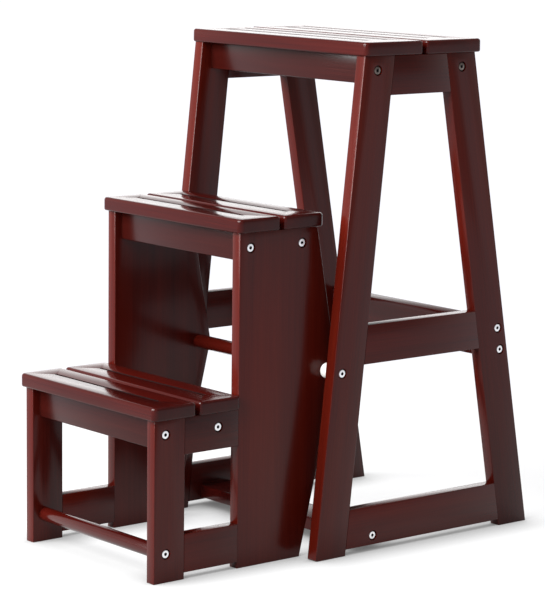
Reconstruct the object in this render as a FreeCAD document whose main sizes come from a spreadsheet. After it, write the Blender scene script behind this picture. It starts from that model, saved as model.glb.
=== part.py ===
"""Three-tread folding step ladder in lacquered wood.

A tall stool stands on two slanted side frames.  A two-tread step unit hangs on one hinge line between
its front legs, and swings up and over to lie upside down inside the stool.

Frame: millimetres, +Z up, +X to the climber's right, the climber stands at -Y and faces +Y.  The
origin is the middle of the footprint, on the floor.
"""
import FreeCAD, Part
import os

import Sketcher
from FreeCAD import Placement, Rotation, Vector

os.makedirs("parts", exist_ok=True)
doc = FreeCAD.newDocument("StepLadder")

# ---------------------------------------------------------------------------------------------------
# Driving dimensions
# ---------------------------------------------------------------------------------------------------
SIZES = (
    # alias, value, meaning
    ("overall_height", 640, "floor to the top of the seat boards"),
    ("board_thick", 17, "thickness of every tread board"),
    ("board_gap", 6, "gap between the two boards of a tread"),
    ("board_corner", 7, "plan radius of a tread's outer corners"),
    ("board_round_top", 3.5, "radius along a board's top edges"),
    ("board_round_under", 2.5, "radius along a board's bottom edges"),
    ("groove_wide", 3.5, "width of a grip groove"),
    ("groove_deep", 2.5, "depth of a grip groove"),
    ("groove_inset", 34, "tread end to groove end"),
    ("ease", 1.2, "radius along the long edges of legs, rails and aprons"),
    ("frame_half", 169, "middle of the ladder to a side frame's outer face"),
    ("frame_thick", 16, "thickness of the side frames"),
    ("leg_wide", 49, "width of a leg, measured level"),
    ("leg_front", -67.5, "front edge of a front foot"),
    ("leg_rear", 297.5, "rear edge of a rear foot"),
    ("front_lean", 67.5, "how far a front leg leans back over its height"),
    ("rear_lean", 113, "how far a rear leg leans forward over its height"),
    ("toe_cut", 3, "corner taken off a front foot's toe"),
    ("top_rail_low", 574, "underside of the top rails"),
    ("middle_rail_low", 240.5, "underside of the middle rails"),
    ("middle_rail_high", 290, "top of the middle rails"),
    ("foot_clear", 8, "floor to the underside of the bottom rails"),
    ("bottom_rail_high", 58, "top of the stool's bottom rails"),
    ("seat_half", 174, "half the length of the seat boards"),
    ("seat_front", -2.5, "front edge of the seat"),
    ("seat_deep", 195, "depth of the seat over both boards"),
    ("apron_thick", 15, "thickness of every apron and of the rear cross rail"),
    ("seat_apron_low", 588, "underside of the aprons under the seat"),
    ("seat_apron_front", 21.5, "middle of the seat's front apron"),
    ("seat_apron_rear", 163, "middle of the seat's rear apron"),
    ("seat_bolt_high", 605, "height of the seat apron bolts"),
    ("cross_rail_back", 240, "middle of the rear cross rail, from the origin"),
    ("cross_rail_high", 250, "middle of the rear cross rail, from the floor"),
    ("cross_rail_tall", 52, "height of the rear cross rail along the legs"),
    ("cross_bolt_apart", 29, "distance between the two bolts at each end of the rear cross rail"),
    ("floor_board_back", 27, "middle of the floor cross board, from the origin"),
    ("floor_board_low", 11.5, "underside of the floor cross board"),
    ("floor_board_deep", 50, "depth of the floor cross board"),
    ("floor_board_thick", 17, "thickness of the floor cross board"),
    ("hinge_back", -28, "hinge line, from the origin"),
    ("hinge_high", 233, "hinge line, from the floor"),
    ("panel_half", 135, "middle of the ladder to a side panel's outer face"),
    ("panel_thick", 15, "thickness of the side panels and their rails"),
    ("step_half", 141.5, "half the length of the step boards"),
    ("step_deep", 132.5, "depth of a step over both boards"),
    ("middle_high", 431.5, "floor to the top of the middle step"),
    ("middle_front", -170, "front edge of the middle step"),
    ("lower_high", 216.5, "floor to the top of the lower step"),
    ("lower_front", -297.5, "front edge of the lower step"),
    ("panel_front", -165, "front edge of the side panels"),
    ("panel_top_rear", -43, "rear edge of a side panel at its top"),
    ("panel_peak_back", -8.5, "rearmost corner of a side panel, from the origin"),
    ("panel_peak_high", 232, "rearmost corner of a side panel, from the floor"),
    ("panel_foot_rear", -65.5, "rear edge of a side panel at the floor"),
    ("post_front", -292, "front edge of the front posts"),
    ("post_wide", 45.5, "width of the front posts"),
    ("window_low", 56, "underside of the opening in a panel"),
    ("window_high", 153.5, "top of the opening in a panel"),
    ("middle_apron_low", 378.5, "underside of the middle step's aprons"),
    ("lower_apron_low", 162.5, "underside of the lower step's aprons"),
    ("middle_apron_front", -148, "middle of the middle step's front apron"),
    ("middle_apron_rear", -67, "middle of the middle step's rear apron"),
    ("lower_apron_front", -275, "middle of the lower step's front apron"),
    ("lower_apron_rear", -195.5, "middle of the lower step's rear apron"),
    ("middle_bolt_high", 395.5, "height of the middle step's apron bolts"),
    ("lower_bolt_high", 181, "height of the lower step's apron bolts"),
    ("rod_wide", 18, "diameter of the front rod and of the pivot rod"),
    ("rod_back", -274, "front rod, from the origin"),
    ("rod_high", 35, "front rod, from the floor"),
    ("bolt_wide", 6, "diameter of the frame bolts"),
    ("bolt_long", 45, "length of the frame bolts under the head"),
    ("bolt_head_wide", 10, "diameter of a bolt head"),
    ("bolt_head_tall", 2.5, "height of a bolt head"),
    ("head_sink", 3.5, "depth of the counterbore that a bolt head sits in"),
    ("head_room", 13, "diameter of that counterbore"),
    ("hex_wide", 4, "hex socket of a bolt, across the flats"),
    ("hex_deep", 3, "depth of a hex socket"),
    ("nut_wide", 10, "diameter of a barrel nut"),
    ("nut_long", 13, "length of a barrel nut"),
    ("nut_inset", 21, "end of an apron to the middle of its barrel nut"),
    ("insert_wide", 9, "outer diameter of a front rod insert"),
    ("insert_long", 15, "length of a front rod insert"),
    ("pivot_wide", 8, "diameter of a pivot bolt"),
    ("pivot_long", 67, "length of a pivot bolt under the head"),
    ("pivot_head_wide", 10, "diameter of a pivot bolt's head"),
    ("pivot_play", 0.05, "radial play of a pivot bolt in its leg"),
    ("pivot_shake", 0.25, "end play between a leg, its pivot bolt head and its spacer"),
    ("pivot_insert_wide", 11, "outer diameter of a pivot rod insert"),
    ("spacer_wide", 20, "outer diameter of a pivot spacer"),
    ("dowel_wide", 8, "diameter of the wooden dowels"),
    ("dowel_long", 30, "length of the frame and panel dowels"),
    ("dowel_relief", 0.5, "glue gap at each end of a dowel"),
    ("dowel_apart", 18, "distance between the two dowels of a joint"),
    ("seat_pin_front", 75, "seat front board's dowels, from the origin"),
    ("seat_pin_rear", 112, "seat rear board's dowels"),
    ("middle_pin_front", -125, "middle step front board's dowels"),
    ("middle_pin_rear", -88, "middle step rear board's dowels"),
    ("lower_pin_front", -255, "lower step front board's dowels"),
    ("lower_pin_rear", -213, "lower step rear board's dowels"),
    ("pin_up", 10, "how far a board dowel stands into its board"),
    ("pin_down", 8, "how far a board dowel stands into the wood under it"),
    ("screw_wide", 4, "diameter of a board screw"),
    ("screw_head_wide", 8, "diameter of a board screw's head"),
    ("screw_head_tall", 3, "height of a board screw's head"),
    ("screw_long", 32, "length of a board screw"),
    ("screw_pocket", 14, "depth of the counterbore for a board screw"),
    ("screw_pocket_wide", 8.6, "diameter of the counterbore for a board screw"),
    ("screw_out", 75, "board screws, from the middle of the ladder"),
)
LONG_EDGE = 60       # edges longer than this are eased, in mm
UPRIGHT_EDGE = 10    # a board's corner edges rise further than this
TOUCH = 0.1          # how near to a face an edge counts as lying in it


class Dim:
    """A length: its value, and the expression that binds a property to the sheet."""

    def __init__(self, value, text):
        self.value = float(value)
        self.text = text

    @staticmethod
    def of(other):
        return other if isinstance(other, Dim) else Dim(other, repr(float(other)))

    def _join(self, other, sign, value):
        return Dim(value, f"({self.text} {sign} {other.text})")

    def __add__(self, other):
        other = Dim.of(other)
        return self._join(other, "+", self.value + other.value)

    def __sub__(self, other):
        other = Dim.of(other)
        return self._join(other, "-", self.value - other.value)

    def __mul__(self, other):
        other = Dim.of(other)
        return self._join(other, "*", self.value * other.value)

    def __truediv__(self, other):
        other = Dim.of(other)
        return self._join(other, "/", self.value / other.value)

    def __neg__(self):
        return self * -1

    def root(self):
        """Square root of this value."""
        return Dim(self.value ** 0.5, f"sqrt({self.text})")


class Sizes:
    """The spreadsheet of driving dimensions; each alias is read as an attribute."""

    def __init__(self, rows):
        sheet = doc.addObject("Spreadsheet::Sheet", "Sizes")
        for row, (alias, value, meaning) in enumerate(rows, start=1):
            sheet.set(f"A{row}", alias)
            sheet.set(f"B{row}", str(value))
            sheet.set(f"C{row}", meaning)
            sheet.setAlias(f"B{row}", alias)
            setattr(self, alias, Dim(value, f"Sizes.{alias}"))


size = Sizes(SIZES)
doc.recompute()

ZERO = Dim(0, "0")
LEFT = -1
RIGHT = 1
SIDES = (("left", LEFT), ("right", RIGHT))
nodes = []


def bind(thing, prop, dim):
    """Bind one property of a document object to the sheet."""
    thing.setExpression(prop, dim.text)


def keep(thing, name):
    """Name a finished sub-part and list it for export."""
    thing.Label = name
    nodes.append(thing)
    return thing


# ---------------------------------------------------------------------------------------------------
# Sketches and features
# ---------------------------------------------------------------------------------------------------
def new_sketch(body, role, offset):
    """Sketch on one of the body's own origin planes, moved along the plane's normal."""
    plane = next(item for item in body.Origin.OriginFeatures if item.Role == role)
    sketch = body.newObject("Sketcher::SketchObject", f"{body.Name}Sketch")
    sketch.AttachmentSupport = [(plane, "")]
    sketch.MapMode = "FlatFace"
    bind(sketch, "AttachmentOffset.Base.z", offset)
    return sketch


def pin_point(sketch, geometry, position, point, tag):
    """Tie a sketch point to the origin with a level and an upright dimension."""
    for kind, dim in zip(("DistanceX", "DistanceY"), point):
        index = sketch.addConstraint(
            Sketcher.Constraint(kind, -1, 1, geometry, position, dim.value))
        sketch.renameConstraint(index, f"{tag}_{kind}")
        bind(sketch, f"Constraints.{tag}_{kind}", dim)


def draw_outline(sketch, points, tag="corner"):
    """Closed outline of straight lines through the given points."""
    first = sketch.GeometryCount
    count = len(points)
    ends = [Vector(across.value, up.value, 0) for across, up in points]
    for index in range(count):
        sketch.addGeometry(Part.LineSegment(ends[index], ends[(index + 1) % count]), False)
    for index in range(count):
        following = first + (index + 1) % count
        sketch.addConstraint(Sketcher.Constraint("Coincident", first + index, 2, following, 1))
    for index, point in enumerate(points):
        pin_point(sketch, first + index, 1, point, f"{tag}{index}")


def draw_circle(sketch, centre, diameter):
    """Circle about a point that is tied to the sheet."""
    number = sketch.GeometryCount
    middle = Vector(centre[0].value, centre[1].value, 0)
    sketch.addGeometry(Part.Circle(middle, Vector(0, 0, 1), diameter.value / 2), False)
    pin_point(sketch, number, 3, centre, f"hole{number}")
    index = sketch.addConstraint(Sketcher.Constraint("Diameter", number, diameter.value))
    sketch.renameConstraint(index, f"bore{number}")
    bind(sketch, f"Constraints.bore{number}", diameter)


def plank(name, role, offset, outline, thickness):
    """Body padded from an outline, from the offset plane towards the plane's normal."""
    body = doc.addObject("PartDesign::Body", name.title().replace("_", ""))
    sketch = new_sketch(body, role, offset)
    draw_outline(sketch, outline)
    pad = body.newObject("PartDesign::Pad", f"{body.Name}Pad")
    pad.Profile = sketch
    bind(pad, "Length", thickness)
    return keep(body, name)


def cut(body, sketch, reach):
    """Pocket that reaches the same way to both sides of its sketch."""
    pocket = body.newObject("PartDesign::Pocket", f"{body.Name}Pocket")
    pocket.Profile = sketch
    pocket.SideType = "Symmetric"
    bind(pocket, "Length", reach * 2)


def bore(body, role, offset, centres, diameter, reach):
    """Round holes about points of one plane."""
    sketch = new_sketch(body, role, offset)
    for centre in centres:
        draw_circle(sketch, centre, diameter)
    cut(body, sketch, reach)


def bolt_holes(body, across, face, centres, thickness):
    """Holes right through a side piece, each with a counterbore for the bolt head at its outer face."""
    bore(body, "YZ_Plane", across, centres, size.bolt_wide, thickness)
    bore(body, "YZ_Plane", face, centres, size.head_room, size.head_sink)


def round_edges(body, radius, wanted):
    """Fillet the edges of the body's present shape that a test accepts."""
    doc.recompute()
    tip = body.Tip
    names = [f"Edge{number}" for number, edge in enumerate(tip.Shape.Edges, start=1) if wanted(edge)]
    fillet = body.newObject("PartDesign::Fillet", f"{body.Name}Fillet")
    fillet.Base = (tip, names)
    bind(fillet, "Radius", radius)
    doc.recompute()


def is_long(edge):
    """Long edges of a board, which are eased by hand; the ends stay square."""
    return edge.Length > LONG_EDGE


def is_lengthwise(edge):
    """Edges that run along X."""
    return edge.BoundBox.XLength > LONG_EDGE


def side_start(side, half, thickness):
    """Lowest X of a side piece whose outer face is at half."""
    return half - thickness if side == RIGHT else -half


def place(thing, rotation, across, back, high):
    """Turn a part and tie its position to the sheet."""
    thing.Placement = Placement(Vector(across.value, back.value, high.value), rotation)
    bind(thing, "Placement.Base.x", across)
    bind(thing, "Placement.Base.y", back)
    bind(thing, "Placement.Base.z", high)


ALONG_X = Rotation(Vector(0, 1, 0), 90)
ALONG_Y = Rotation(Vector(1, 0, 0), -90)
ALONG_Z = Rotation()


def cylinder(name, rotation, start, diameter, length):
    """Cylinder from a start point along its turned axis."""
    thing = doc.addObject("Part::Cylinder", name)
    bind(thing, "Radius", diameter / 2)
    bind(thing, "Height", length)
    place(thing, rotation, *start)
    return thing


def tube(name, rotation, start, outside, inside, length):
    """Sleeve: a cylinder less a bore right through it."""
    whole = doc.addObject("Part::Cut", name)
    whole.Base = cylinder(f"{name}Outside", rotation, start, outside, length)
    whole.Tool = cylinder(f"{name}Bore", rotation, start, inside, length)
    return whole


def group(name, members):
    """Identical small pieces as separate solids of one node."""
    thing = doc.addObject("Part::Compound", name.title().replace("_", ""))
    thing.Links = members
    return keep(thing, name)


def socket_bolt(name, side, face, back, high, wide, length, head_wide):
    """Flat-headed bolt with a hex socket, driven inwards from a side face."""
    inward = length if side == RIGHT else ZERO
    shank = cylinder(f"{name}Shank", ALONG_X, (face * side - inward, back, high), wide, length)
    outward = ZERO if side == RIGHT else size.bolt_head_tall
    start = face * side - outward
    head = cylinder(f"{name}Head", ALONG_X, (start, back, high), head_wide, size.bolt_head_tall)
    fused = doc.addObject("Part::MultiFuse", f"{name}Blank")
    fused.Shapes = [shank, head]
    hexagon = doc.addObject("Part::Prism", f"{name}Hex")
    hexagon.Polygon = 6
    bind(hexagon, "Circumradius", size.hex_wide / Dim(3, "3").root())
    bind(hexagon, "Height", size.hex_deep)
    mouth = size.bolt_head_tall - size.hex_deep if side == RIGHT else -size.bolt_head_tall
    place(hexagon, ALONG_X, face * side + mouth, back, high)
    bolt = doc.addObject("Part::Cut", name)
    bolt.Base = fused
    bolt.Tool = hexagon
    return bolt


# ---------------------------------------------------------------------------------------------------
# Lines that several pieces share
# ---------------------------------------------------------------------------------------------------
leg_tall = size.overall_height - size.board_thick
frame_inner = size.frame_half - size.frame_thick
frame_seat = size.frame_half - size.head_sink
panel_inner = size.panel_half - size.panel_thick
panel_seat = size.panel_half - size.head_sink
seat_apron_tall = leg_tall - size.seat_apron_low
middle_under = size.middle_high - size.board_thick
lower_under = size.lower_high - size.board_thick
post_rear = size.post_front + size.post_wide


def front_leg_edge(high):
    """Front edge of a front leg at a height."""
    return size.leg_front + size.front_lean * high / leg_tall


def front_leg_back(high):
    """Rear edge of a front leg at a height."""
    return front_leg_edge(high) + size.leg_wide


def rear_leg_edge(high):
    """Rear edge of a rear leg at a height."""
    return size.leg_rear - size.rear_lean * high / leg_tall


def rear_leg_face(high):
    """Front edge of a rear leg at a height."""
    return rear_leg_edge(high) - size.leg_wide


rear_slope = (size.rear_lean * size.rear_lean + leg_tall * leg_tall).root()
slope_back = size.rear_lean / rear_slope
slope_up = leg_tall / rear_slope


def on_cross_rail(along):
    """Point of the cross rail's middle line, at a distance up along the slanted leg."""
    return (size.cross_rail_back - slope_back * along, size.cross_rail_high + slope_up * along)


# ---------------------------------------------------------------------------------------------------
# Side frames of the stool
# ---------------------------------------------------------------------------------------------------
SEAT_PINS = (size.seat_pin_front, size.seat_pin_rear)
FRAME_RAILS = (
    ("top_rail", size.top_rail_low, leg_tall),
    ("middle_rail", size.middle_rail_low, size.middle_rail_high),
    ("bottom_rail", size.foot_clear, size.bottom_rail_high),
)


def joint_heights(low, high):
    """Heights of the two dowels in the end of a rail."""
    middle = (low + high) / 2
    half = size.dowel_apart / 2
    return (middle - half, middle + half)


def dowel_bores(body, across, joint, heights):
    """Two blind holes for the dowels of a joint, shared by the wood on both sides of it."""
    centres = [(across, height) for height in heights]
    bore(body, "XZ_Plane", -joint, centres, size.dowel_wide, size.dowel_long / 2 + size.dowel_relief)


def dowels(name, across, joint, heights):
    """The two dowels of a joint."""
    start = joint - size.dowel_long / 2
    return [cylinder(f"{name}{number}", ALONG_Y, (across, start, height), size.dowel_wide,
                     size.dowel_long) for number, height in enumerate(heights)]


def side_frame(word, side):
    """Two slanted legs with three rails doweled between them."""
    start = side_start(side, size.frame_half, size.frame_thick)
    middle = start + size.frame_thick / 2
    face = size.frame_half * side
    front = plank(f"{word}_front_leg", "YZ_Plane", start, [
        (size.leg_front + size.toe_cut, ZERO), (front_leg_back(ZERO), ZERO),
        (front_leg_back(leg_tall), leg_tall), (front_leg_edge(leg_tall), leg_tall),
        (front_leg_edge(size.toe_cut), size.toe_cut)], size.frame_thick)
    rear = plank(f"{word}_rear_leg", "YZ_Plane", start, [
        (rear_leg_face(ZERO), ZERO), (rear_leg_edge(ZERO), ZERO),
        (rear_leg_edge(leg_tall), leg_tall), (rear_leg_face(leg_tall), leg_tall)], size.frame_thick)
    for leg in (front, rear):
        round_edges(leg, size.ease, is_long)
    pins = []
    for rail_name, low, high in FRAME_RAILS:
        rail = plank(f"{word}_{rail_name}", "YZ_Plane", start, [
            (front_leg_back(low), low), (rear_leg_face(low), low),
            (rear_leg_face(high), high), (front_leg_back(high), high)], size.frame_thick)
        round_edges(rail, size.ease, is_long)
        heights = joint_heights(low, high)
        centre = (low + high) / 2
        for leg, joint in ((front, front_leg_back(centre)), (rear, rear_leg_face(centre))):
            dowel_bores(leg, middle, joint, heights)
            dowel_bores(rail, middle, joint, heights)
            pins += dowels(f"{word}{rail_name}{leg.Name}Dowel", middle, joint, heights)
        if rail_name == "top_rail":
            bore(rail, "XY_Plane", leg_tall, [(middle, back) for back in SEAT_PINS],
                 size.dowel_wide, size.pin_down)
        if rail_name == "bottom_rail":
            bolt_holes(rail, middle, face, [floor_bolt], size.frame_thick)
    bolt_holes(front, middle, face, [(size.seat_apron_front, size.seat_bolt_high)], size.frame_thick)
    hinge = [(size.hinge_back, size.hinge_high)]
    bore(front, "YZ_Plane", middle, hinge, size.pivot_wide + size.pivot_play * 2, size.frame_thick)
    bore(front, "YZ_Plane", face, hinge, size.head_room, size.head_sink)
    bolt_holes(rear, middle, face, [(size.seat_apron_rear, size.seat_bolt_high), cross_bolt_low,
                                    cross_bolt_high], size.frame_thick)
    group(f"{word}_frame_dowels", pins)


floor_bolt = (size.floor_board_back, size.floor_board_low + size.floor_board_thick / 2)
cross_bolt_low = on_cross_rail(-size.cross_bolt_apart / 2)
cross_bolt_high = on_cross_rail(size.cross_bolt_apart / 2)

for side_word, side_sign in SIDES:
    side_frame(side_word, side_sign)


# ---------------------------------------------------------------------------------------------------
# Treads: two boards with a gap between them, grip grooves on top
# ---------------------------------------------------------------------------------------------------
def tread_board(name, half, front, deep, top, front_board, groove_backs, pins, screw_back):
    """One tread board: rounded edges, stopped grooves, blind holes underneath."""
    low = top - size.board_thick
    rear = front + deep
    body = plank(name, "XY_Plane", low,
                 [(-half, front), (half, front), (half, rear), (-half, rear)], size.board_thick)
    outer = front.value if front_board else rear.value
    round_edges(body, size.board_corner,
                lambda edge: edge.BoundBox.ZLength > UPRIGHT_EDGE
                and abs(edge.BoundBox.YMax - outer) < TOUCH)
    round_edges(body, size.board_round_top, lambda edge: edge.BoundBox.ZMin > top.value - TOUCH)
    round_edges(body, size.board_round_under, lambda edge: edge.BoundBox.ZMax < low.value + TOUCH)
    sketch = new_sketch(body, "XY_Plane", top)
    reach = half - size.groove_inset
    edge = size.groove_wide / 2
    for number, back in enumerate(groove_backs):
        draw_outline(sketch, [(-reach, back - edge), (reach, back - edge), (reach, back + edge),
                              (-reach, back + edge)], f"groove{number}")
    cut(body, sketch, size.groove_deep)
    bore(body, "XY_Plane", low, pins, size.dowel_wide, size.pin_up)
    screws = [(size.screw_out * side, screw_back) for side in (LEFT, RIGHT)]
    bore(body, "XY_Plane", low, screws, size.screw_wide, size.screw_long + size.screw_pocket
         - seat_apron_tall)
    return body


seat_board_deep = (size.seat_deep - size.board_gap) / 2
step_board_deep = (size.step_deep - size.board_gap) / 2


def tread(word, half, front, board_deep, top, grooves, pin_across, pin_backs, screw_backs):
    """The front and the rear board of a tread, and the dowels that hold them to the sides."""
    rear_front = front + board_deep + size.board_gap
    pins = []
    for which, start, pin_back, screw_back in (("front", front, pin_backs[0], screw_backs[0]),
                                               ("rear", rear_front, pin_backs[1], screw_backs[1])):
        backs = [start + board_deep * (step + 1) / (grooves + 1) for step in range(grooves)]
        places = [(pin_across * side, pin_back) for side in (LEFT, RIGHT)]
        tread_board(f"{word}_{which}_board", half, start, board_deep, top, which == "front", backs,
                    places, screw_back)
        for number, (across, back) in enumerate(places):
            start_at = (across, back, top - size.board_thick - size.pin_down)
            pins.append(cylinder(f"{word}{which}Pin{number}", ALONG_Z, start_at, size.dowel_wide,
                                 size.pin_up + size.pin_down))
    return pins


panel_middle = size.panel_half - size.panel_thick / 2
frame_middle = size.frame_half - size.frame_thick / 2
MIDDLE_PINS = (size.middle_pin_front, size.middle_pin_rear)
LOWER_PINS = (size.lower_pin_front, size.lower_pin_rear)

group("seat_dowels", tread(
    "seat", size.seat_half, size.seat_front, seat_board_deep, size.overall_height, 2, frame_middle,
    SEAT_PINS, (size.seat_apron_front, size.seat_apron_rear)))
step_pins = tread(
    "middle", size.step_half, size.middle_front, step_board_deep, size.middle_high, 1, panel_middle,
    MIDDLE_PINS, (size.middle_apron_front, size.middle_apron_rear))
step_pins += tread(
    "lower", size.step_half, size.lower_front, step_board_deep, size.lower_high, 1, panel_middle,
    LOWER_PINS, (size.lower_apron_front, size.lower_apron_rear))
group("step_dowels", step_pins)


# ---------------------------------------------------------------------------------------------------
# Aprons with their bolts, barrel nuts and board screws
# ---------------------------------------------------------------------------------------------------
def apron(name, half, middle, low, high, bolt_high, seat):
    """Cross board under a tread, bolted from outside the sides into barrel nuts."""
    start = middle - size.apron_thick / 2
    rear = middle + size.apron_thick / 2
    body = plank(name, "YZ_Plane", -half, [(start, low), (rear, low), (rear, high), (start, high)],
                 half * 2)
    round_edges(body, size.ease,
                lambda edge: is_lengthwise(edge) and edge.BoundBox.ZMax < low.value + TOUCH)
    for side in (LEFT, RIGHT):
        bore(body, "YZ_Plane", half * side, [(middle, bolt_high)], size.bolt_wide,
             size.bolt_long - seat + half + size.dowel_relief)
    nut_across = half - size.nut_inset
    bore(body, "XZ_Plane", -rear, [(nut_across * side, bolt_high) for side in (LEFT, RIGHT)],
         size.nut_wide, size.nut_long)
    screws = [(size.screw_out * side, middle) for side in (LEFT, RIGHT)]
    pocket = high - seat_apron_tall + size.screw_pocket - low
    bore(body, "XY_Plane", low, screws, size.screw_pocket_wide, pocket)
    bore(body, "XY_Plane", high, screws, size.screw_wide, seat_apron_tall)


def barrel_nut(name, rotation, start, cross_start):
    """Round nut across an apron, with the threaded hole through its middle."""
    nut = doc.addObject("Part::Cut", name)
    nut.Base = cylinder(f"{name}Barrel", rotation, start, size.nut_wide, size.nut_long)
    nut.Tool = cylinder(f"{name}Thread", ALONG_X, cross_start, size.bolt_wide, size.nut_wide)
    return nut


def board_screw(name, across, back, top):
    """Countersunk screw that rises through an apron into a board."""
    head_low = top - seat_apron_tall + size.screw_pocket
    shank = cylinder(f"{name}Shank", ALONG_Z, (across, back, head_low), size.screw_wide,
                     size.screw_long)
    head = cylinder(f"{name}Head", ALONG_Z, (across, back, head_low - size.screw_head_tall),
                    size.screw_head_wide, size.screw_head_tall)
    screw = doc.addObject("Part::MultiFuse", name)
    screw.Shapes = [shank, head]
    return screw


APRONS = (
    # name, half length, middle, underside, top, bolt height, seat of the bolt heads, owner
    ("seat_front_apron", frame_inner, size.seat_apron_front, size.seat_apron_low, leg_tall,
     size.seat_bolt_high, frame_seat, "seat"),
    ("seat_rear_apron", frame_inner, size.seat_apron_rear, size.seat_apron_low, leg_tall,
     size.seat_bolt_high, frame_seat, "seat"),
    ("middle_front_apron", panel_inner, size.middle_apron_front, size.middle_apron_low, middle_under,
     size.middle_bolt_high, panel_seat, "step"),
    ("middle_rear_apron", panel_inner, size.middle_apron_rear, size.middle_apron_low, middle_under,
     size.middle_bolt_high, panel_seat, "step"),
    ("lower_front_apron", panel_inner, size.lower_apron_front, size.lower_apron_low, lower_under,
     size.lower_bolt_high, panel_seat, "step"),
    ("lower_rear_apron", panel_inner, size.lower_apron_rear, size.lower_apron_low, lower_under,
     size.lower_bolt_high, panel_seat, "step"),
)

hardware = {"seat": ([], [], []), "step": ([], [], [])}
for apron_name, half, middle, low, high, bolt_high, seat, owner in APRONS:
    apron(apron_name, half, middle, low, high, bolt_high, seat)
    bolts, nuts, screws = hardware[owner]
    for word, side in SIDES:
        tag = f"{apron_name}{word}"
        bolts.append(socket_bolt(f"{tag}Bolt", side, seat, middle, bolt_high, size.bolt_wide,
                                 size.bolt_long, size.bolt_head_wide))
        across = (half - size.nut_inset) * side
        nut_start = middle + size.apron_thick / 2 - size.nut_long
        nuts.append(barrel_nut(f"{tag}Nut", ALONG_Y, (across, nut_start, bolt_high),
                               (across - size.nut_wide / 2, middle, bolt_high)))
        screws.append(board_screw(f"{tag}Screw", size.screw_out * side, middle, high))

for owner, (bolts, nuts, screws) in hardware.items():
    group(f"{owner}_apron_bolts", bolts)
    group(f"{owner}_apron_nuts", nuts)
    group(f"{owner}_screws", screws)


# ---------------------------------------------------------------------------------------------------
# Cross members of the stool
# ---------------------------------------------------------------------------------------------------
def lean_with_rear_legs(thing):
    """Place a part made about its own middle at the cross rail, leaning with the rear legs."""
    thing.Placement.Rotation = Rotation(Vector(1, 0, 0), 1)
    bind(thing, "Placement.Rotation.Angle", Dim(0, f"atan({size.rear_lean.text} / {leg_tall.text})"))
    bind(thing, "Placement.Base.y", size.cross_rail_back)
    bind(thing, "Placement.Base.z", size.cross_rail_high)


def rear_cross_rail():
    """Rail between the rear legs, with two bolts and two barrel nuts at each end."""
    thick = size.apron_thick
    tall = size.cross_rail_tall
    blank = doc.addObject("Part::Box", "CrossRailBlank")
    bind(blank, "Length", frame_inner * 2)
    bind(blank, "Width", thick)
    bind(blank, "Height", tall)
    place(blank, ALONG_Z, -frame_inner, -thick / 2, -tall / 2)
    eased = doc.addObject("Part::Fillet", "CrossRailEased")
    eased.Base = blank
    doc.recompute()
    eased.Edges = [(number, size.ease.value, size.ease.value)
                   for number, edge in enumerate(blank.Shape.Edges, start=1) if is_lengthwise(edge)]
    bolts, nuts, holes = [], [], []
    reach = size.bolt_long + frame_inner - frame_seat + size.dowel_relief
    for word, side in SIDES:
        hole_start = frame_inner - reach if side == RIGHT else -frame_inner
        across = (frame_inner - size.nut_inset) * side
        for step, level in (("Low", -1), ("High", 1)):
            high = size.cross_bolt_apart / 2 * level
            tag = f"CrossRail{word}{step}"
            bolts.append(socket_bolt(f"{tag}Bolt", side, frame_seat, ZERO, high, size.bolt_wide,
                                     size.bolt_long, size.bolt_head_wide))
            nut_start = -thick / 2
            nuts.append(barrel_nut(f"{tag}Nut", ALONG_Y, (across, nut_start, high),
                                   (across - size.nut_wide / 2, ZERO, high)))
            holes.append(cylinder(f"{tag}Bore", ALONG_X, (hole_start, ZERO, high), size.bolt_wide, reach))
            holes.append(cylinder(f"{tag}NutBore", ALONG_Y, (across, nut_start, high), size.nut_wide,
                                  size.nut_long))
    tool = doc.addObject("Part::MultiFuse", "CrossRailBores")
    tool.Shapes = holes
    rail = doc.addObject("Part::Cut", "RearCrossRail")
    rail.Base = eased
    rail.Tool = tool
    lean_with_rear_legs(keep(rail, "rear_cross_rail"))
    lean_with_rear_legs(group("cross_rail_bolts", bolts))
    lean_with_rear_legs(group("cross_rail_nuts", nuts))


def floor_cross_board():
    """Flat board between the bottom rails, with one bolt and one upright barrel nut at each end."""
    back, high = floor_bolt
    start = back - size.floor_board_deep / 2
    body = plank("floor_cross_board", "YZ_Plane", -frame_inner, [
        (start, size.floor_board_low),
        (start + size.floor_board_deep, size.floor_board_low),
        (start + size.floor_board_deep, size.floor_board_low + size.floor_board_thick),
        (start, size.floor_board_low + size.floor_board_thick)], frame_inner * 2)
    round_edges(body, size.ease, is_lengthwise)
    bolts, nuts = [], []
    reach = size.bolt_long + frame_inner - frame_seat + size.dowel_relief
    across = frame_inner - size.nut_inset
    for word, side in SIDES:
        bore(body, "YZ_Plane", frame_inner * side, [floor_bolt], size.bolt_wide, reach)
        bolts.append(socket_bolt(f"FloorBoard{word}Bolt", side, frame_seat, back, high,
                                 size.bolt_wide, size.bolt_long, size.bolt_head_wide))
        nuts.append(barrel_nut(f"FloorBoard{word}Nut", ALONG_Z,
                               (across * side, back, size.floor_board_low),
                               (across * side - size.nut_wide / 2, back, high)))
    bore(body, "XY_Plane", size.floor_board_low, [(across * side, back) for side in (LEFT, RIGHT)],
         size.nut_wide, size.nut_long)
    group("floor_board_bolts", bolts)
    group("floor_board_nuts", nuts)


rear_cross_rail()
floor_cross_board()


# ---------------------------------------------------------------------------------------------------
# Side panels of the step unit
# ---------------------------------------------------------------------------------------------------
PANEL_RAILS = (
    ("upper_rail", size.window_high, lower_under),
    ("lower_rail", size.foot_clear, size.window_low),
)


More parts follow.
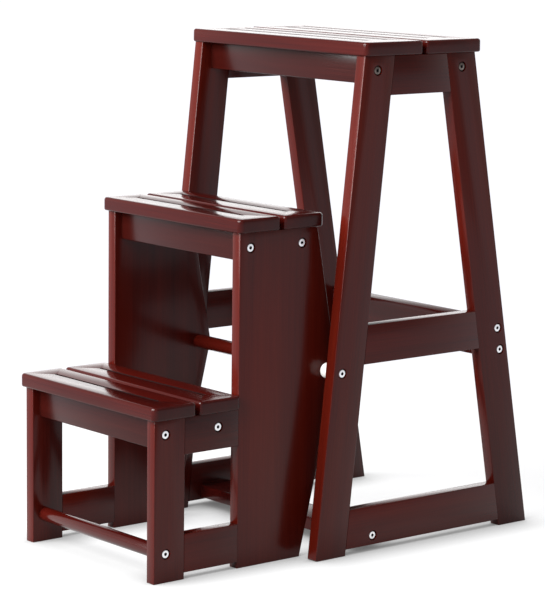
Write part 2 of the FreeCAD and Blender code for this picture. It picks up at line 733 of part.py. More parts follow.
def side_panel(word, side):
    """Kite-shaped panel with a front post and two rails doweled to it, round an open window."""
    start = side_start(side, size.panel_half, size.panel_thick)
    middle = start + size.panel_thick / 2
    face = size.panel_half * side
    panel = plank(f"{word}_side_panel", "YZ_Plane", start, [
        (size.panel_front, ZERO), (size.panel_foot_rear, ZERO),
        (size.panel_peak_back, size.panel_peak_high), (size.panel_top_rear, middle_under),
        (size.panel_front, middle_under)], size.panel_thick)
    post = plank(f"{word}_front_post", "YZ_Plane", start, [
        (size.post_front, ZERO), (post_rear, ZERO), (post_rear, lower_under),
        (size.post_front, lower_under)], size.panel_thick)
    for piece in (panel, post):
        round_edges(piece, size.ease, is_long)
    pins = []
    for rail_name, low, high in PANEL_RAILS:
        rail = plank(f"{word}_{rail_name}", "YZ_Plane", start, [
            (post_rear, low), (size.panel_front, low), (size.panel_front, high), (post_rear, high)],
            size.panel_thick)
        round_edges(rail, size.ease, is_long)
        heights = joint_heights(low, high)
        for neighbour, joint in ((post, post_rear), (panel, size.panel_front)):
            dowel_bores(neighbour, middle, joint, heights)
            dowel_bores(rail, middle, joint, heights)
            pins += dowels(f"{word}{rail_name}{neighbour.Name}Dowel", middle, joint, heights)
        if rail_name == "upper_rail":
            bolt_holes(rail, middle, face, [(size.lower_apron_rear, size.lower_bolt_high)],
                       size.panel_thick)
            bore(rail, "XY_Plane", lower_under, [(middle, LOWER_PINS[1])], size.dowel_wide,
                 size.pin_down)
    bolt_holes(panel, middle, face, [(size.middle_apron_front, size.middle_bolt_high),
                                     (size.middle_apron_rear, size.middle_bolt_high)],
               size.panel_thick)
    bore(panel, "YZ_Plane", middle, [(size.hinge_back, size.hinge_high)], size.pivot_wide,
         size.panel_thick)
    bore(panel, "XY_Plane", middle_under, [(middle, back) for back in MIDDLE_PINS], size.dowel_wide,
         size.pin_down)
    bolt_holes(post, middle, face, [(size.lower_apron_front, size.lower_bolt_high),
                                    (size.rod_back, size.rod_high)], size.panel_thick)
    bore(post, "XY_Plane", lower_under, [(middle, LOWER_PINS[0])], size.dowel_wide, size.pin_down)
    group(f"{word}_panel_dowels", pins)


for side_word, side_sign in SIDES:
    side_panel(side_word, side_sign)


# ---------------------------------------------------------------------------------------------------
# Round rods and the hinge
# ---------------------------------------------------------------------------------------------------
def round_rod(name, back, high, insert_wide, insert_long, screw_wide, screw_reach):
    """Wooden rod between the panels, bored at both ends for a threaded insert and a bolt."""
    body = doc.addObject("PartDesign::Body", name.title().replace("_", ""))
    sketch = new_sketch(body, "YZ_Plane", -panel_inner)
    draw_circle(sketch, (back, high), size.rod_wide)
    pad = body.newObject("PartDesign::Pad", f"{body.Name}Pad")
    pad.Profile = sketch
    bind(pad, "Length", panel_inner * 2)
    for side in (LEFT, RIGHT):
        face = panel_inner * side
        bore(body, "YZ_Plane", face, [(back, high)], insert_wide, insert_long)
        bore(body, "YZ_Plane", face, [(back, high)], screw_wide, screw_reach)
    keep(body, name)


def insert_pair(name, back, high, outside, inside, length):
    """Threaded inserts in the two ends of a rod."""
    starts = {LEFT: -panel_inner, RIGHT: panel_inner - length}
    return group(name, [
        tube(f"{name}{word}".title().replace("_", ""), ALONG_X, (starts[side], back, high), outside,
             inside, length) for word, side in SIDES])


bolt_reach = size.bolt_long + panel_inner - panel_seat + size.dowel_relief
round_rod("front_rod", size.rod_back, size.rod_high, size.insert_wide, size.insert_long,
          size.bolt_wide, bolt_reach)
insert_pair("front_rod_inserts", size.rod_back, size.rod_high, size.insert_wide, size.bolt_wide,
            size.insert_long)
group("front_rod_bolts", [
    socket_bolt(f"FrontRod{word}Bolt", side, panel_seat, size.rod_back, size.rod_high,
                size.bolt_wide, size.bolt_long, size.bolt_head_wide) for word, side in SIDES])

pivot_seat = frame_seat + size.pivot_shake
pivot_reach = size.pivot_long - pivot_seat + panel_inner
round_rod("pivot_rod", size.hinge_back, size.hinge_high, size.pivot_insert_wide, pivot_reach,
          size.bolt_wide, pivot_reach + size.dowel_relief)
insert_pair("pivot_rod_inserts", size.hinge_back, size.hinge_high, size.pivot_insert_wide,
            size.pivot_wide, pivot_reach)
spacer_long = frame_inner - size.pivot_shake - size.panel_half
for side_word, side_sign in SIDES:
    keep(socket_bolt(f"Pivot{side_word}Bolt", side_sign, pivot_seat, size.hinge_back, size.hinge_high,
                     size.pivot_wide, size.pivot_long, size.pivot_head_wide), f"{side_word}_pivot_bolt")
    spacer_start = size.panel_half if side_sign == RIGHT else -size.panel_half - spacer_long
    keep(tube(f"Pivot{side_word}Spacer", ALONG_X, (spacer_start, size.hinge_back, size.hinge_high),
              size.spacer_wide, size.pivot_wide, spacer_long), f"{side_word}_pivot_spacer")


# ---------------------------------------------------------------------------------------------------
# Check and write
# ---------------------------------------------------------------------------------------------------
def check_document():
    """Stop at the first object that failed, and at a pocket that removed nothing."""
    for thing in doc.Objects:
        if {"Invalid", "Error"} & set(thing.State):
            raise RuntimeError(f"{thing.Label} is {thing.State}")
        if thing.TypeId == "PartDesign::Pocket":
            removed = thing.BaseFeature.Shape.Volume - thing.Shape.Volume
            if removed < 1:
                raise RuntimeError(f"{thing.Label} removes nothing")
    for node in nodes:
        if node.Shape.isNull() or not node.Shape.isValid() or not node.Shape.Solids:
            raise RuntimeError(f"{node.Label} has no sound shape")


doc.recompute()
check_document()
for node in nodes:
    node.Shape.exportStep(f"parts/{node.Label}.step")
print(f"{len(nodes)} sub-parts, {sum(len(node.Shape.Solids) for node in nodes)} solids")
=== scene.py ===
"""Finished look of the three-tread folding step ladder, built round its fixed frame.

Every board, leg, rail, rod, bolt, nut and spacer is modelled as its own piece in metres, at the
place that the frame gives. Dowels, threaded inserts and board screws keep their frame shapes and
are only dressed.
"""
import logging
import math
from dataclasses import dataclass, field
from enum import Enum
from typing import Any, Callable, Sequence

import bmesh
import bpy
from mathutils import Euler, Matrix, Vector


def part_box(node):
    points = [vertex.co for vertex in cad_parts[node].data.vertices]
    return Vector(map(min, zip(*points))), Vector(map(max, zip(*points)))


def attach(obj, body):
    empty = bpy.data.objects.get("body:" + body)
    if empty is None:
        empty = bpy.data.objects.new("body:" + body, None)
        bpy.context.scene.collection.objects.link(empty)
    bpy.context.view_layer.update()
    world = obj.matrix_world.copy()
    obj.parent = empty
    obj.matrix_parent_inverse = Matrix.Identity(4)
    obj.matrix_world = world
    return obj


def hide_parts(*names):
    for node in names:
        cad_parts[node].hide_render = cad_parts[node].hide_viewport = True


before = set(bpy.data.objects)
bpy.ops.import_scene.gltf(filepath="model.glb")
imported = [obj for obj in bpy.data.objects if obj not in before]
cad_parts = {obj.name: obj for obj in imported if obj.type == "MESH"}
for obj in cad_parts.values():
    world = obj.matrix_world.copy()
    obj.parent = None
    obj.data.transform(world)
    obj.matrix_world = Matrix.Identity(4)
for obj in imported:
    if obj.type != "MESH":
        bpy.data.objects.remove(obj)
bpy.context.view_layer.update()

LOG = logging.getLogger("step_ladder")

MM = 0.001
NEAR = 0.05 * MM
OVERRUN = 4 * MM
STOOL = "stool_frame"
STEPS = "step_unit"
Point = tuple[float, float]
Test = Callable[[Any], bool]
MIX_FIRST, MIX_SECOND, MIX_RESULT = 6, 7, 2
BLACK = (0.0, 0.0, 0.0)
NO_TURN = (0.0, 0.0, 0.0)


# ---------------------------------------------------------------------------------------------------
# Driving dimensions
# ---------------------------------------------------------------------------------------------------
class Side(Enum):
    """The two sides of the ladder, as the climber sees them."""

    LEFT = -1
    RIGHT = 1

    @property
    def word(self) -> str:
        """Name of the side, as the frame's nodes spell it."""
        return self.name.lower()


@dataclass(frozen=True)
class Plan:
    """Lines that several pieces share, in metres."""

    leg_tall: float = 623 * MM
    leg_wide: float = 49 * MM
    leg_front: float = -67.5 * MM
    leg_rear: float = 297.5 * MM
    front_lean: float = 67.5 * MM
    rear_lean: float = 113 * MM
    hinge: Point = (-28 * MM, 233 * MM)
    front_rod: Point = (-274 * MM, 35 * MM)
    frame_half: float = 169 * MM
    frame_thick: float = 16 * MM
    panel_half: float = 135 * MM
    panel_thick: float = 15 * MM
    apron_thick: float = 15 * MM
    head_sink: float = 3.5 * MM
    nut_inset: float = 21 * MM
    seat_aprons: Point = (21.5 * MM, 163 * MM)
    middle_aprons: Point = (-148 * MM, -67 * MM)
    lower_aprons: Point = (-275 * MM, -195.5 * MM)
    floor_bolt: Point = (27 * MM, 20 * MM)
    cross_rail: Point = (240 * MM, 250 * MM)
    cross_bolt_half: float = 14.5 * MM
    seat_bolt_high: float = 605 * MM
    middle_bolt_high: float = 395.5 * MM
    lower_bolt_high: float = 181 * MM

    def front_edge(self, high: float) -> float:
        """Front edge of a front leg at a height."""
        return self.leg_front + self.front_lean * high / self.leg_tall

    def rear_edge(self, high: float) -> float:
        """Rear edge of a rear leg at a height."""
        return self.leg_rear - self.rear_lean * high / self.leg_tall

    def rear_angle(self) -> float:
        """Angle by which a rear leg leans forward."""
        return math.atan2(self.rear_lean, self.leg_tall)

    def front_angle(self) -> float:
        """Angle by which a front leg leans back."""
        return math.atan2(self.front_lean, self.leg_tall)

    def on_cross_rail(self, along: float, out: float = 0.0) -> Point:
        """Point on the cross rail.

        Args:
            along: Distance up the legs from the rail's middle.
            out: Distance towards the back, square to the legs.

        Returns:
            The point in the side view.
        """
        lean = self.rear_angle()
        return (self.cross_rail[0] - math.sin(lean) * along + math.cos(lean) * out,
                self.cross_rail[1] + math.cos(lean) * along + math.sin(lean) * out)


PLAN = Plan()


# ---------------------------------------------------------------------------------------------------
# Shader graphs
# ---------------------------------------------------------------------------------------------------
@dataclass(frozen=True)
class Value:
    """One number socket of a shader graph; arithmetic on it adds Math nodes."""

    graph: "Graph"
    socket: bpy.types.NodeSocket

    def _math(self, operation: str, first: Any, second: Any = 0.0) -> "Value":
        """Add one Math node.

        Args:
            operation: Name of the Math node's operation.
            first: First value or number.
            second: Second value or number.

        Returns:
            The node's result.
        """
        node = self.graph.add("ShaderNodeMath", {"operation": operation}, {0: first, 1: second})
        return Value(self.graph, node.outputs[0])

    def __add__(self, other: Any) -> "Value":
        """Sum."""
        return self._math("ADD", self, other)

    def __radd__(self, other: Any) -> "Value":
        """Sum, with the number first."""
        return self._math("ADD", other, self)

    def __sub__(self, other: Any) -> "Value":
        """Difference."""
        return self._math("SUBTRACT", self, other)

    def __rsub__(self, other: Any) -> "Value":
        """Difference, with the number first."""
        return self._math("SUBTRACT", other, self)

    def __mul__(self, other: Any) -> "Value":
        """Product."""
        return self._math("MULTIPLY", self, other)

    def __rmul__(self, other: Any) -> "Value":
        """Product, with the number first."""
        return self._math("MULTIPLY", other, self)

    def __pow__(self, other: Any) -> "Value":
        """Power."""
        return self._math("POWER", self, other)

    def __rpow__(self, other: Any) -> "Value":
        """Power, with the number as the base."""
        return self._math("POWER", other, self)

    def at_least(self, floor: float) -> "Value":
        """The larger of this value and a number."""
        return self._math("MAXIMUM", self, floor)


class Graph:
    """The node tree of one material or of the world, emptied and ready for new nodes."""

    def __init__(self, owner: bpy.types.ID) -> None:
        """Switch the owner's nodes on and clear them.

        Args:
            owner: A material or a world.
        """
        owner.use_nodes = True
        self.tree = owner.node_tree
        self.tree.nodes.clear()
        self.is_world = isinstance(owner, bpy.types.World)

    def add(self, kind: str, settings: dict[str, Any], inputs: dict[Any, Any]) -> bpy.types.Node:
        """Add a node, set it up, then fill or link its sockets.

        Args:
            kind: The node's type.
            settings: Properties of the node; "stops" fills a colour ramp.
            inputs: Values, sockets or plain numbers by socket name or index.

        Returns:
            The new node.
        """
        node = self.tree.nodes.new(kind)
        for name, setting in settings.items():
            if name == "stops":
                self._fill_ramp(node.color_ramp, setting)
            else:
                setattr(node, name, setting)
        for name, entry in inputs.items():
            socket = node.inputs[name]
            if isinstance(entry, Value):
                entry = entry.socket
            if isinstance(entry, bpy.types.NodeSocket):
                self.tree.links.new(entry, socket)
            else:
                socket.default_value = entry
        return node

    @staticmethod
    def _fill_ramp(ramp: bpy.types.ColorRamp, stops: Sequence[tuple[float, tuple]]) -> None:
        """Give a colour ramp its stops.

        Args:
            ramp: The ramp.
            stops: Place and linear colour of each stop, in order.
        """
        while len(ramp.elements) < len(stops):
            ramp.elements.new(1.0)
        for element, (place, colour) in zip(ramp.elements, stops):
            element.position = place
            element.color = (*colour, 1.0)

    def value(self, node: bpy.types.Node, output: Any = 0) -> Value:
        """Wrap one output of a node for arithmetic."""
        return Value(self, node.outputs[output])

    def mix(self, factor: Value, first: Any, second: Any) -> bpy.types.NodeSocket:
        """Mix two colours.

        Args:
            factor: 0 for the first colour, 1 for the second.
            first: Colour socket or linear RGB.
            second: Colour socket or linear RGB.

        Returns:
            The colour output.
        """
        ends = [(*colour, 1.0) if isinstance(colour, tuple) else colour for colour in (first, second)]
        node = self.add("ShaderNodeMix", {"data_type": "RGBA"}, {
            "Factor": factor, MIX_FIRST: ends[0], MIX_SECOND: ends[1]})
        return node.outputs[MIX_RESULT]

    def ramp(self, level: Value, *stops: tuple[float, tuple]) -> bpy.types.NodeSocket:
        """Colour ramp over a value.

        Args:
            level: The value.
            stops: Place and linear colour of each stop, in order.

        Returns:
            The colour output.
        """
        return self.add("ShaderNodeValToRGB", {"stops": stops}, {0: level}).outputs["Color"]

    def bump(self, height: Value, strength: float, distance: float) -> bpy.types.NodeSocket:
        """Small relief.

        Args:
            height: Height pattern.
            strength: How much of it shows.
            distance: Depth in metres.

        Returns:
            The normal output.
        """
        return self.add("ShaderNodeBump", {}, {
            "Strength": strength, "Distance": distance, "Height": height}).outputs["Normal"]

    def object_place(self, turn: tuple, scale: tuple) -> bpy.types.NodeSocket:
        """Object coordinates, turned and then stretched.

        Args:
            turn: Rotation about X, Y and Z, in radians.
            scale: Pattern repeats per metre along each turned axis.

        Returns:
            The vector output.
        """
        place = self.add("ShaderNodeTexCoord", {}, {})
        turned = self.add("ShaderNodeMapping", {}, {"Vector": place.outputs["Object"], "Rotation": turn})
        return self.add("ShaderNodeMapping", {},
                        {"Vector": turned.outputs["Vector"], "Scale": scale}).outputs["Vector"]

    def noise(self, place: bpy.types.NodeSocket, detail: float, rough: float, bend: float = 0.0) -> Value:
        """Noise between 0 and 1 on given coordinates.

        Args:
            place: Coordinates.
            detail: Number of finer layers.
            rough: Strength of each finer layer.
            bend: How far the pattern bends on itself.

        Returns:
            The noise value.
        """
        node = self.add("ShaderNodeTexNoise", {}, {
            "Vector": place, "Scale": 1.0, "Detail": detail, "Roughness": rough, "Distortion": bend})
        return self.value(node, "Fac")

    def surface(self, shader: bpy.types.Node) -> None:
        """Link a shader to the material's or the world's output."""
        kind = "ShaderNodeOutputWorld" if self.is_world else "ShaderNodeOutputMaterial"
        self.add(kind, {}, {"Surface": shader.outputs[0]})


def new_material(name: str) -> tuple[bpy.types.Material, Graph]:
    """Make an empty material and the graph that fills it."""
    material = bpy.data.materials.new(name)
    return material, Graph(material)


# ---------------------------------------------------------------------------------------------------
# Finishes
# ---------------------------------------------------------------------------------------------------
class Grain(Enum):
    """Direction of the wood fibres, as the turn that brings them onto Z."""

    UPRIGHT = (0.0, 0.0, 0.0)
    ACROSS = (0.0, math.radians(90), 0.0)
    DEEP = (math.radians(90), 0.0, 0.0)
    FRONT_LEG = (PLAN.front_angle(), 0.0, 0.0)
    REAR_LEG = (-PLAN.rear_angle(), 0.0, 0.0)


@dataclass(frozen=True)
class LacqueredWood:
    """Close-grained wood, stained dark cherry and lacquered."""

    name: str
    dark: tuple = (0.021, 0.0014, 0.0009)
    mid: tuple = (0.044, 0.0028, 0.0012)
    light: tuple = (0.070, 0.0056, 0.0018)
    gloss: float = 0.19
    index: float = 1.27
    coat: float = 0.10
    fibre_wide: float = 520.0
    fibre_long: float = 9.0
    figure_wide: float = 26.0
    figure_long: float = 1.6
    cloud_scale: tuple = (5.0, 5.0, 2.0)
    figure_part: float = 0.34
    fibre_part: float = 0.22
    tone_part: float = 0.44
    stops: tuple = (0.36, 0.52, 0.70)
    fibre_rough: float = 0.10
    tone_rough: float = 0.03
    relief: float = 0.10
    relief_deep: float = 0.10 * MM
    relief_figure: float = 0.6
    coat_rough: float = 0.08

    def make(self, grain: Grain) -> bpy.types.Material:
        """Build the finish with its fibres along one direction.

        Args:
            grain: Direction of the fibres.

        Returns:
            The material.
        """
        material, graph = new_material(f"{self.name}_{grain.name.lower()}")
        fine = graph.object_place(grain.value, (self.fibre_wide, self.fibre_wide, self.fibre_long))
        broad = graph.object_place(grain.value, (self.figure_wide, self.figure_wide, self.figure_long))
        cloud = graph.object_place(grain.value, self.cloud_scale)
        fibre = graph.noise(fine, detail=3.0, rough=0.6)
        figure = graph.noise(broad, detail=4.0, rough=0.55, bend=0.6)
        tone = graph.noise(cloud, detail=1.0, rough=0.5)
        shade = figure * self.figure_part + fibre * self.fibre_part + tone * self.tone_part
        # On the apron and groove copies this ramp's darker colours paint shade into the base colour.
        stain_and_shade = graph.ramp(shade, *zip(self.stops, (self.dark, self.mid, self.light)))
        rough = self.gloss + fibre * self.fibre_rough - tone * self.tone_rough
        bump = graph.bump(fibre + figure * self.relief_figure, self.relief, self.relief_deep)
        graph.surface(graph.add("ShaderNodeBsdfPrincipled", {}, {
            "Base Color": stain_and_shade, "Roughness": rough, "IOR": self.index,
            "Coat Weight": self.coat, "Coat Roughness": self.coat_rough, "Coat IOR": self.index,
            "Normal": bump}))
        return material


@dataclass(frozen=True)
class DowelWood:
    """Pale unfinished beech of the hidden dowels."""

    name: str = "dowel_beech"
    dark: tuple = (0.36, 0.22, 0.11)
    light: tuple = (0.58, 0.40, 0.23)
    fibre_scale: tuple = (700.0, 60.0, 60.0)
    rough: float = 0.62
    rough_spread: float = 0.12

    def make(self) -> bpy.types.Material:
        """Build the finish."""
        material, graph = new_material(self.name)
        fibre = graph.noise(graph.object_place(NO_TURN, self.fibre_scale), detail=3.0, rough=0.6)
        graph.surface(graph.add("ShaderNodeBsdfPrincipled", {}, {
            "Base Color": graph.ramp(fibre, (0.3, self.dark), (0.7, self.light)),
            "Roughness": self.rough + fibre * self.rough_spread}))
        return material


@dataclass(frozen=True)
class Plating:
    """Plated steel with faint clouding and fine tool marks."""

    name: str
    dull: tuple
    bright: tuple
    rough: float
    metallic: float = 1.0
    cloud_scale: tuple = (260.0, 260.0, 260.0)
    mark_scale: tuple = (900.0, 2600.0, 2600.0)
    rough_spread: float = 0.14
    relief: float = 0.08
    relief_deep: float = 0.03 * MM

    def make(self) -> bpy.types.Material:
        """Build the finish."""
        material, graph = new_material(self.name)
        cloud = graph.noise(graph.object_place(NO_TURN, self.cloud_scale), detail=3.0, rough=0.5)
        marks = graph.noise(graph.object_place(NO_TURN, self.mark_scale), detail=2.0, rough=0.6)
        graph.surface(graph.add("ShaderNodeBsdfPrincipled", {}, {
            "Base Color": graph.ramp(cloud, (0.3, self.dull), (0.65, self.bright)),
            "Metallic": self.metallic, "Roughness": self.rough + cloud * self.rough_spread,
            "Normal": graph.bump(marks, self.relief, self.relief_deep)}))
        return material


@dataclass(frozen=True)
class WhiteNylon:
    """Moulded nylon of the hinge spacers."""

    name: str = "white_nylon"
    shade: tuple = (0.66, 0.64, 0.60)
    clean: tuple = (0.86, 0.85, 0.82)
    cloud_scale: tuple = (140.0, 140.0, 140.0)
    rough: float = 0.34
    rough_spread: float = 0.12

    def make(self) -> bpy.types.Material:
        """Build the finish."""
        material, graph = new_material(self.name)
        cloud = graph.noise(graph.object_place(NO_TURN, self.cloud_scale), detail=3.0, rough=0.5)
        graph.surface(graph.add("ShaderNodeBsdfPrincipled", {}, {
            "Base Color": graph.ramp(cloud, (0.3, self.shade), (0.6, self.clean)),
            "Roughness": self.rough + cloud * self.rough_spread}))
        return material


@dataclass(frozen=True)
class PaleFloor:
    """Matt paper under the ladder that glows a little, with painted contact shadow darkening the glow
    beside the feet, and fades to white.
    """

    name: str = "pale_floor"
    tone: tuple = (0.11, 0.11, 0.11)
    clean: tuple = (0.13, 0.13, 0.13)
    glow_start: float = 0.50
    glow_reach: float = 0.9
    near_glow: tuple = (0.86, 0.86, 0.865)
    foot_glow: tuple = (0.08, 0.078, 0.076)
    foot_reach: float = 0.055
    foot_falloff: float = 1.3
    far_glow: tuple = (1.04, 1.04, 1.10)
    rough: float = 0.6

    def make(self) -> bpy.types.Material:
        """Build the finish."""
        material, graph = new_material(self.name)
        place = graph.object_place(NO_TURN, (1.0, 1.0, 1.0))
        cloud = graph.noise(place, detail=2.0, rough=0.5)
        tint = graph.ramp(cloud, (0.3, self.tone), (0.7, self.clean))
        radius = graph.value(graph.add("ShaderNodeVectorMath", {"operation": "LENGTH"}, {0: place}),
                             "Value")
        far = graph.value(graph.add("ShaderNodeMapRange", {"interpolation_type": "SMOOTHSTEP"}, {
            "Value": radius, "From Min": self.glow_start,
            "From Max": self.glow_start + self.glow_reach}))
        # Ambient occlusion darkens the floor's glow near the feet: a painted contact shadow.
        open_sky = graph.value(graph.add("ShaderNodeAmbientOcclusion", {"samples": 8}, {
            "Distance": self.foot_reach}), "AO")
        near = graph.mix(open_sky ** self.foot_falloff, self.foot_glow, self.near_glow)
        graph.surface(graph.add("ShaderNodeBsdfPrincipled", {}, {
            "Base Color": graph.mix(far, tint, BLACK), "Roughness": self.rough,
            "Specular IOR Level": 0.0, "Emission Color": graph.mix(far, near, self.far_glow),
            "Emission Strength": 1.0}))
        return material


class Finishes:
    """Every finish of the ladder, each made once."""

    def __init__(self) -> None:
        """Build the fixed finishes and leave the woods to be made when asked for."""
        self.frame_wood = LacqueredWood("frame_wood")
        self.tread_wood = LacqueredWood(
            "tread_wood", dark=(0.015, 0.0010, 0.0008), mid=(0.029, 0.0020, 0.0013),
            light=(0.046, 0.0038, 0.0022), gloss=0.17, index=1.26, coat=0.10)
        # Near-black copy of the lacquered wood: painted shade inside the tread grooves.
        self.groove_wood = LacqueredWood(
            "groove_wood", dark=(0.003, 0.0004, 0.0004), mid=(0.005, 0.0006, 0.0006),
            light=(0.008, 0.0010, 0.0009), gloss=0.50, index=1.15, coat=0.0)
        # Darker copy of the tread wood: painted shade on the aprons, which stand under the overhang of
        # the treads.
        self.apron_wood = LacqueredWood(
            "apron_wood", dark=(0.012, 0.0011, 0.0008), mid=(0.020, 0.0019, 0.0012),
            light=(0.029, 0.0030, 0.0018), index=1.29)
        self.rod_wood = LacqueredWood(
            "rod_wood", dark=(0.018, 0.0010, 0.0007), mid=(0.028, 0.0018, 0.0010),
            light=(0.042, 0.0034, 0.0016), gloss=0.15, index=1.34, coat=0.4)
        self.dowel = DowelWood().make()
        self.bolt = Plating("bolt_zinc", (0.74, 0.75, 0.77), (0.92, 0.92, 0.93), 0.30).make()
        # Darkened copy of the zinc plating: painted shade and dark reflection on the seat bolts under the
        # seat's overhang.
        self.seat_bolt = Plating("seat_bolt_zinc", (0.06, 0.05, 0.045), (0.19, 0.16, 0.14), 0.15).make()
        # Near-black, non-metallic finish: painted shade inside the bolts' hex sockets.
        self.socket = Plating("socket_grime", (0.004, 0.004, 0.005), (0.012, 0.012, 0.014), 0.55,
                              metallic=0.0).make()
        self.hidden = Plating("hidden_steel", (0.42, 0.41, 0.38), (0.60, 0.58, 0.53), 0.38).make()
        self.nylon = WhiteNylon().make()
        self.floor = PaleFloor().make()
        self._woods: dict[str, bpy.types.Material] = {}

    def wood(self, finish: LacqueredWood, grain: Grain) -> bpy.types.Material:
        """The wood finish for a grain direction, made on first use.

        Args:
            finish: Which stain and lacquer; the apron and groove copies also paint shade.
            grain: Direction of the fibres.

        Returns:
            The material.
        """
        key = f"{finish.name}_{grain.name}"
        if key not in self._woods:
            self._woods[key] = finish.make(grain)
        return self._woods[key]


# ---------------------------------------------------------------------------------------------------
# The bench: moves made on pieces
# ---------------------------------------------------------------------------------------------------
class Part(Enum):
    """Kinds of mesh element that can be picked."""

    VERT = "verts"
    EDGE = "edges"
    FACE = "faces"


class Editing:
    """Edit mode on one piece, opened with nothing selected and closed again at the end."""

    def __init__(self, piece: bpy.types.Object) -> None:
        """Remember the piece."""
        self.piece = piece

    def __enter__(self) -> "Editing":
        """Select only this piece and open it."""
        only(self.piece)
        bpy.ops.object.mode_set(mode="EDIT")
        bpy.ops.mesh.select_all(action="DESELECT")
        return self

    def __exit__(self, *problem: Any) -> None:
        """Close edit mode."""
        bpy.ops.object.mode_set(mode="OBJECT")

    def pick(self, part: Part, test: Test) -> "Editing":
        """Select the elements that a test accepts, and nothing else.

        Args:
            part: Kind of element.
            test: Says whether an element is wanted.

        Returns:
            This session, for the next move.
        """
        bpy.ops.mesh.select_mode(type=part.name)
        bpy.ops.mesh.select_all(action="DESELECT")
        mesh = bmesh.from_edit_mesh(self.piece.data)
        for element in [item for item in getattr(mesh, part.value) if test(item)]:
            element.select_set(True)
        mesh.select_flush_mode()
        bmesh.update_edit_mesh(self.piece.data)
        return self

    def pick_sharp(self, angle: float = 50.0) -> "Editing":
        """Select the edges that are still sharp.

        Args:
            angle: Smallest angle between the faces, in degrees.

        Returns:
            This session, for the next move.
        """
        bpy.ops.mesh.select_mode(type="EDGE")
        bpy.ops.mesh.select_all(action="DESELECT")
        bpy.ops.mesh.edges_select_sharp(sharpness=math.radians(angle))
        return self

    def rim(self, test: Test) -> "Editing":
        """Select the boundary of some faces.

        Args:
            test: Says whether a face is inside the boundary.

        Returns:
            This session, for the next move.
        """
        self.pick(Part.FACE, test)
        bpy.ops.mesh.region_to_loop()
        return self

    def round_off(self, radius: float, segments: int) -> "Editing":
        """Bevel the selected edges."""
        bpy.ops.mesh.bevel(offset=radius, segments=segments, profile=0.5, affect="EDGES")
        return self

    def shift(self, move: tuple[float, float, float]) -> "Editing":
        """Move what is selected."""
        bpy.ops.transform.translate(value=move)
        return self

    def assign_second_finish(self, test: Test) -> None:
        """Give the faces that a test accepts the piece's second material."""
        self.pick(Part.FACE, test)
        self.piece.active_material_index = 1
        bpy.ops.object.material_slot_assign()


def only(piece: bpy.types.Object) -> None:
    """Select one object, make it active, and deselect all others."""
    bpy.ops.object.select_all(action="DESELECT")
    piece.select_set(True)
    bpy.context.view_layer.objects.active = piece


def settle(piece: bpy.types.Object) -> None:
    """Move an object's place, turn and scale into its mesh."""
    only(piece)
    bpy.ops.object.transform_apply(location=True, rotation=True, scale=True)


def block(name: str, low: Sequence[float], high: Sequence[float]) -> bpy.types.Object:
    """Rectangular blank between two corners.

    Args:
        name: Name of the piece.
        low: Lowest corner.
        high: Highest corner.

    Returns:
        The blank.
    """
    bpy.ops.object.select_all(action="DESELECT")
    middle = [(start + end) / 2 for start, end in zip(low, high)]
    size = [end - start for start, end in zip(low, high)]
    bpy.ops.mesh.primitive_cube_add(size=1, location=middle, scale=size)
    piece = bpy.context.active_object
    piece.name = name
    piece.data.name = name
    settle(piece)
    return piece


def round_bar(name: str, middle: Sequence[float], turn: Sequence[float], wide: float, long: float,
              corners: int = 48) -> bpy.types.Object:
    """Cylinder blank about a middle point.

    Args:
        name: Name of the piece.
        middle: Middle of the cylinder.
        turn: Rotation that lays its Z axis where it belongs.
        wide: Diameter.
        long: Length.
        corners: Number of flats round it.

    Returns:
        The blank.
    """
    bpy.ops.object.select_all(action="DESELECT")
    bpy.ops.mesh.primitive_cylinder_add(vertices=corners, radius=wide / 2, depth=long,
                                        location=middle, rotation=turn)
    piece = bpy.context.active_object
    piece.name = name
    piece.data.name = name
    settle(piece)
    return piece


LIE_ACROSS = (0.0, math.radians(90), 0.0)
LIE_DEEP = (math.radians(-90), 0.0, 0.0)
ALONG = 0.9


def carve(piece: bpy.types.Object, cutter: bpy.types.Object) -> None:
    """Cut one shape out of a piece and throw the cutter away.

    Args:
        piece: The piece that is cut.
        cutter: The shape that is taken out of it.
    """
    only(piece)
    bpy.ops.object.modifier_add(type="BOOLEAN")
    modifier = piece.modifiers[-1]
    modifier.operation = "DIFFERENCE"
    modifier.solver = "EXACT"
    modifier.object = cutter
    bpy.ops.object.modifier_apply(modifier=modifier.name)
    bpy.data.objects.remove(cutter, do_unlink=True)


def drill(piece: bpy.types.Object, mouth: Sequence[float], inward: Sequence[float], wide: float,
          deep: float, corners: int = 40) -> None:
    """Round hole from a mouth point inwards.

    Args:
        piece: The piece that is drilled.
        mouth: Middle of the hole's mouth.
        inward: Unit direction into the wood.
        wide: Diameter.
        deep: Depth from the mouth.
        corners: Number of flats round the hole.
    """
    direction = Vector(inward)
    middle = Vector(mouth) + direction * (deep - OVERRUN) / 2
    turn = direction.to_track_quat("Z", "Y").to_euler()
    carve(piece, round_bar("drill", middle, turn, wide, deep + OVERRUN, corners))


def soften(piece: bpy.types.Object, angle: float = 32.0) -> None:
    """Shade a finished mesh smooth except across edges sharper than an angle in degrees."""
    only(piece)
    bpy.ops.object.shade_smooth_by_angle(angle=math.radians(angle))


def copy_piece(source: bpy.types.Object, name: str, turn: Sequence[float],
               place: Sequence[float]) -> bpy.types.Object:
    """Copy of a piece with a mesh of its own, turned about the origin and then placed.

    Args:
        source: The piece that is modelled once.
        name: Name of the copy.
        turn: Rotation in radians.
        place: Where the source's origin goes.

    Returns:
        The copy.
    """
    only(source)
    bpy.ops.object.duplicate(linked=False)
    piece = bpy.context.active_object
    piece.name = name
    piece.data.name = name
    piece.rotation_euler = Euler(turn)
    piece.location = Vector(place)
    settle(piece)
    return piece


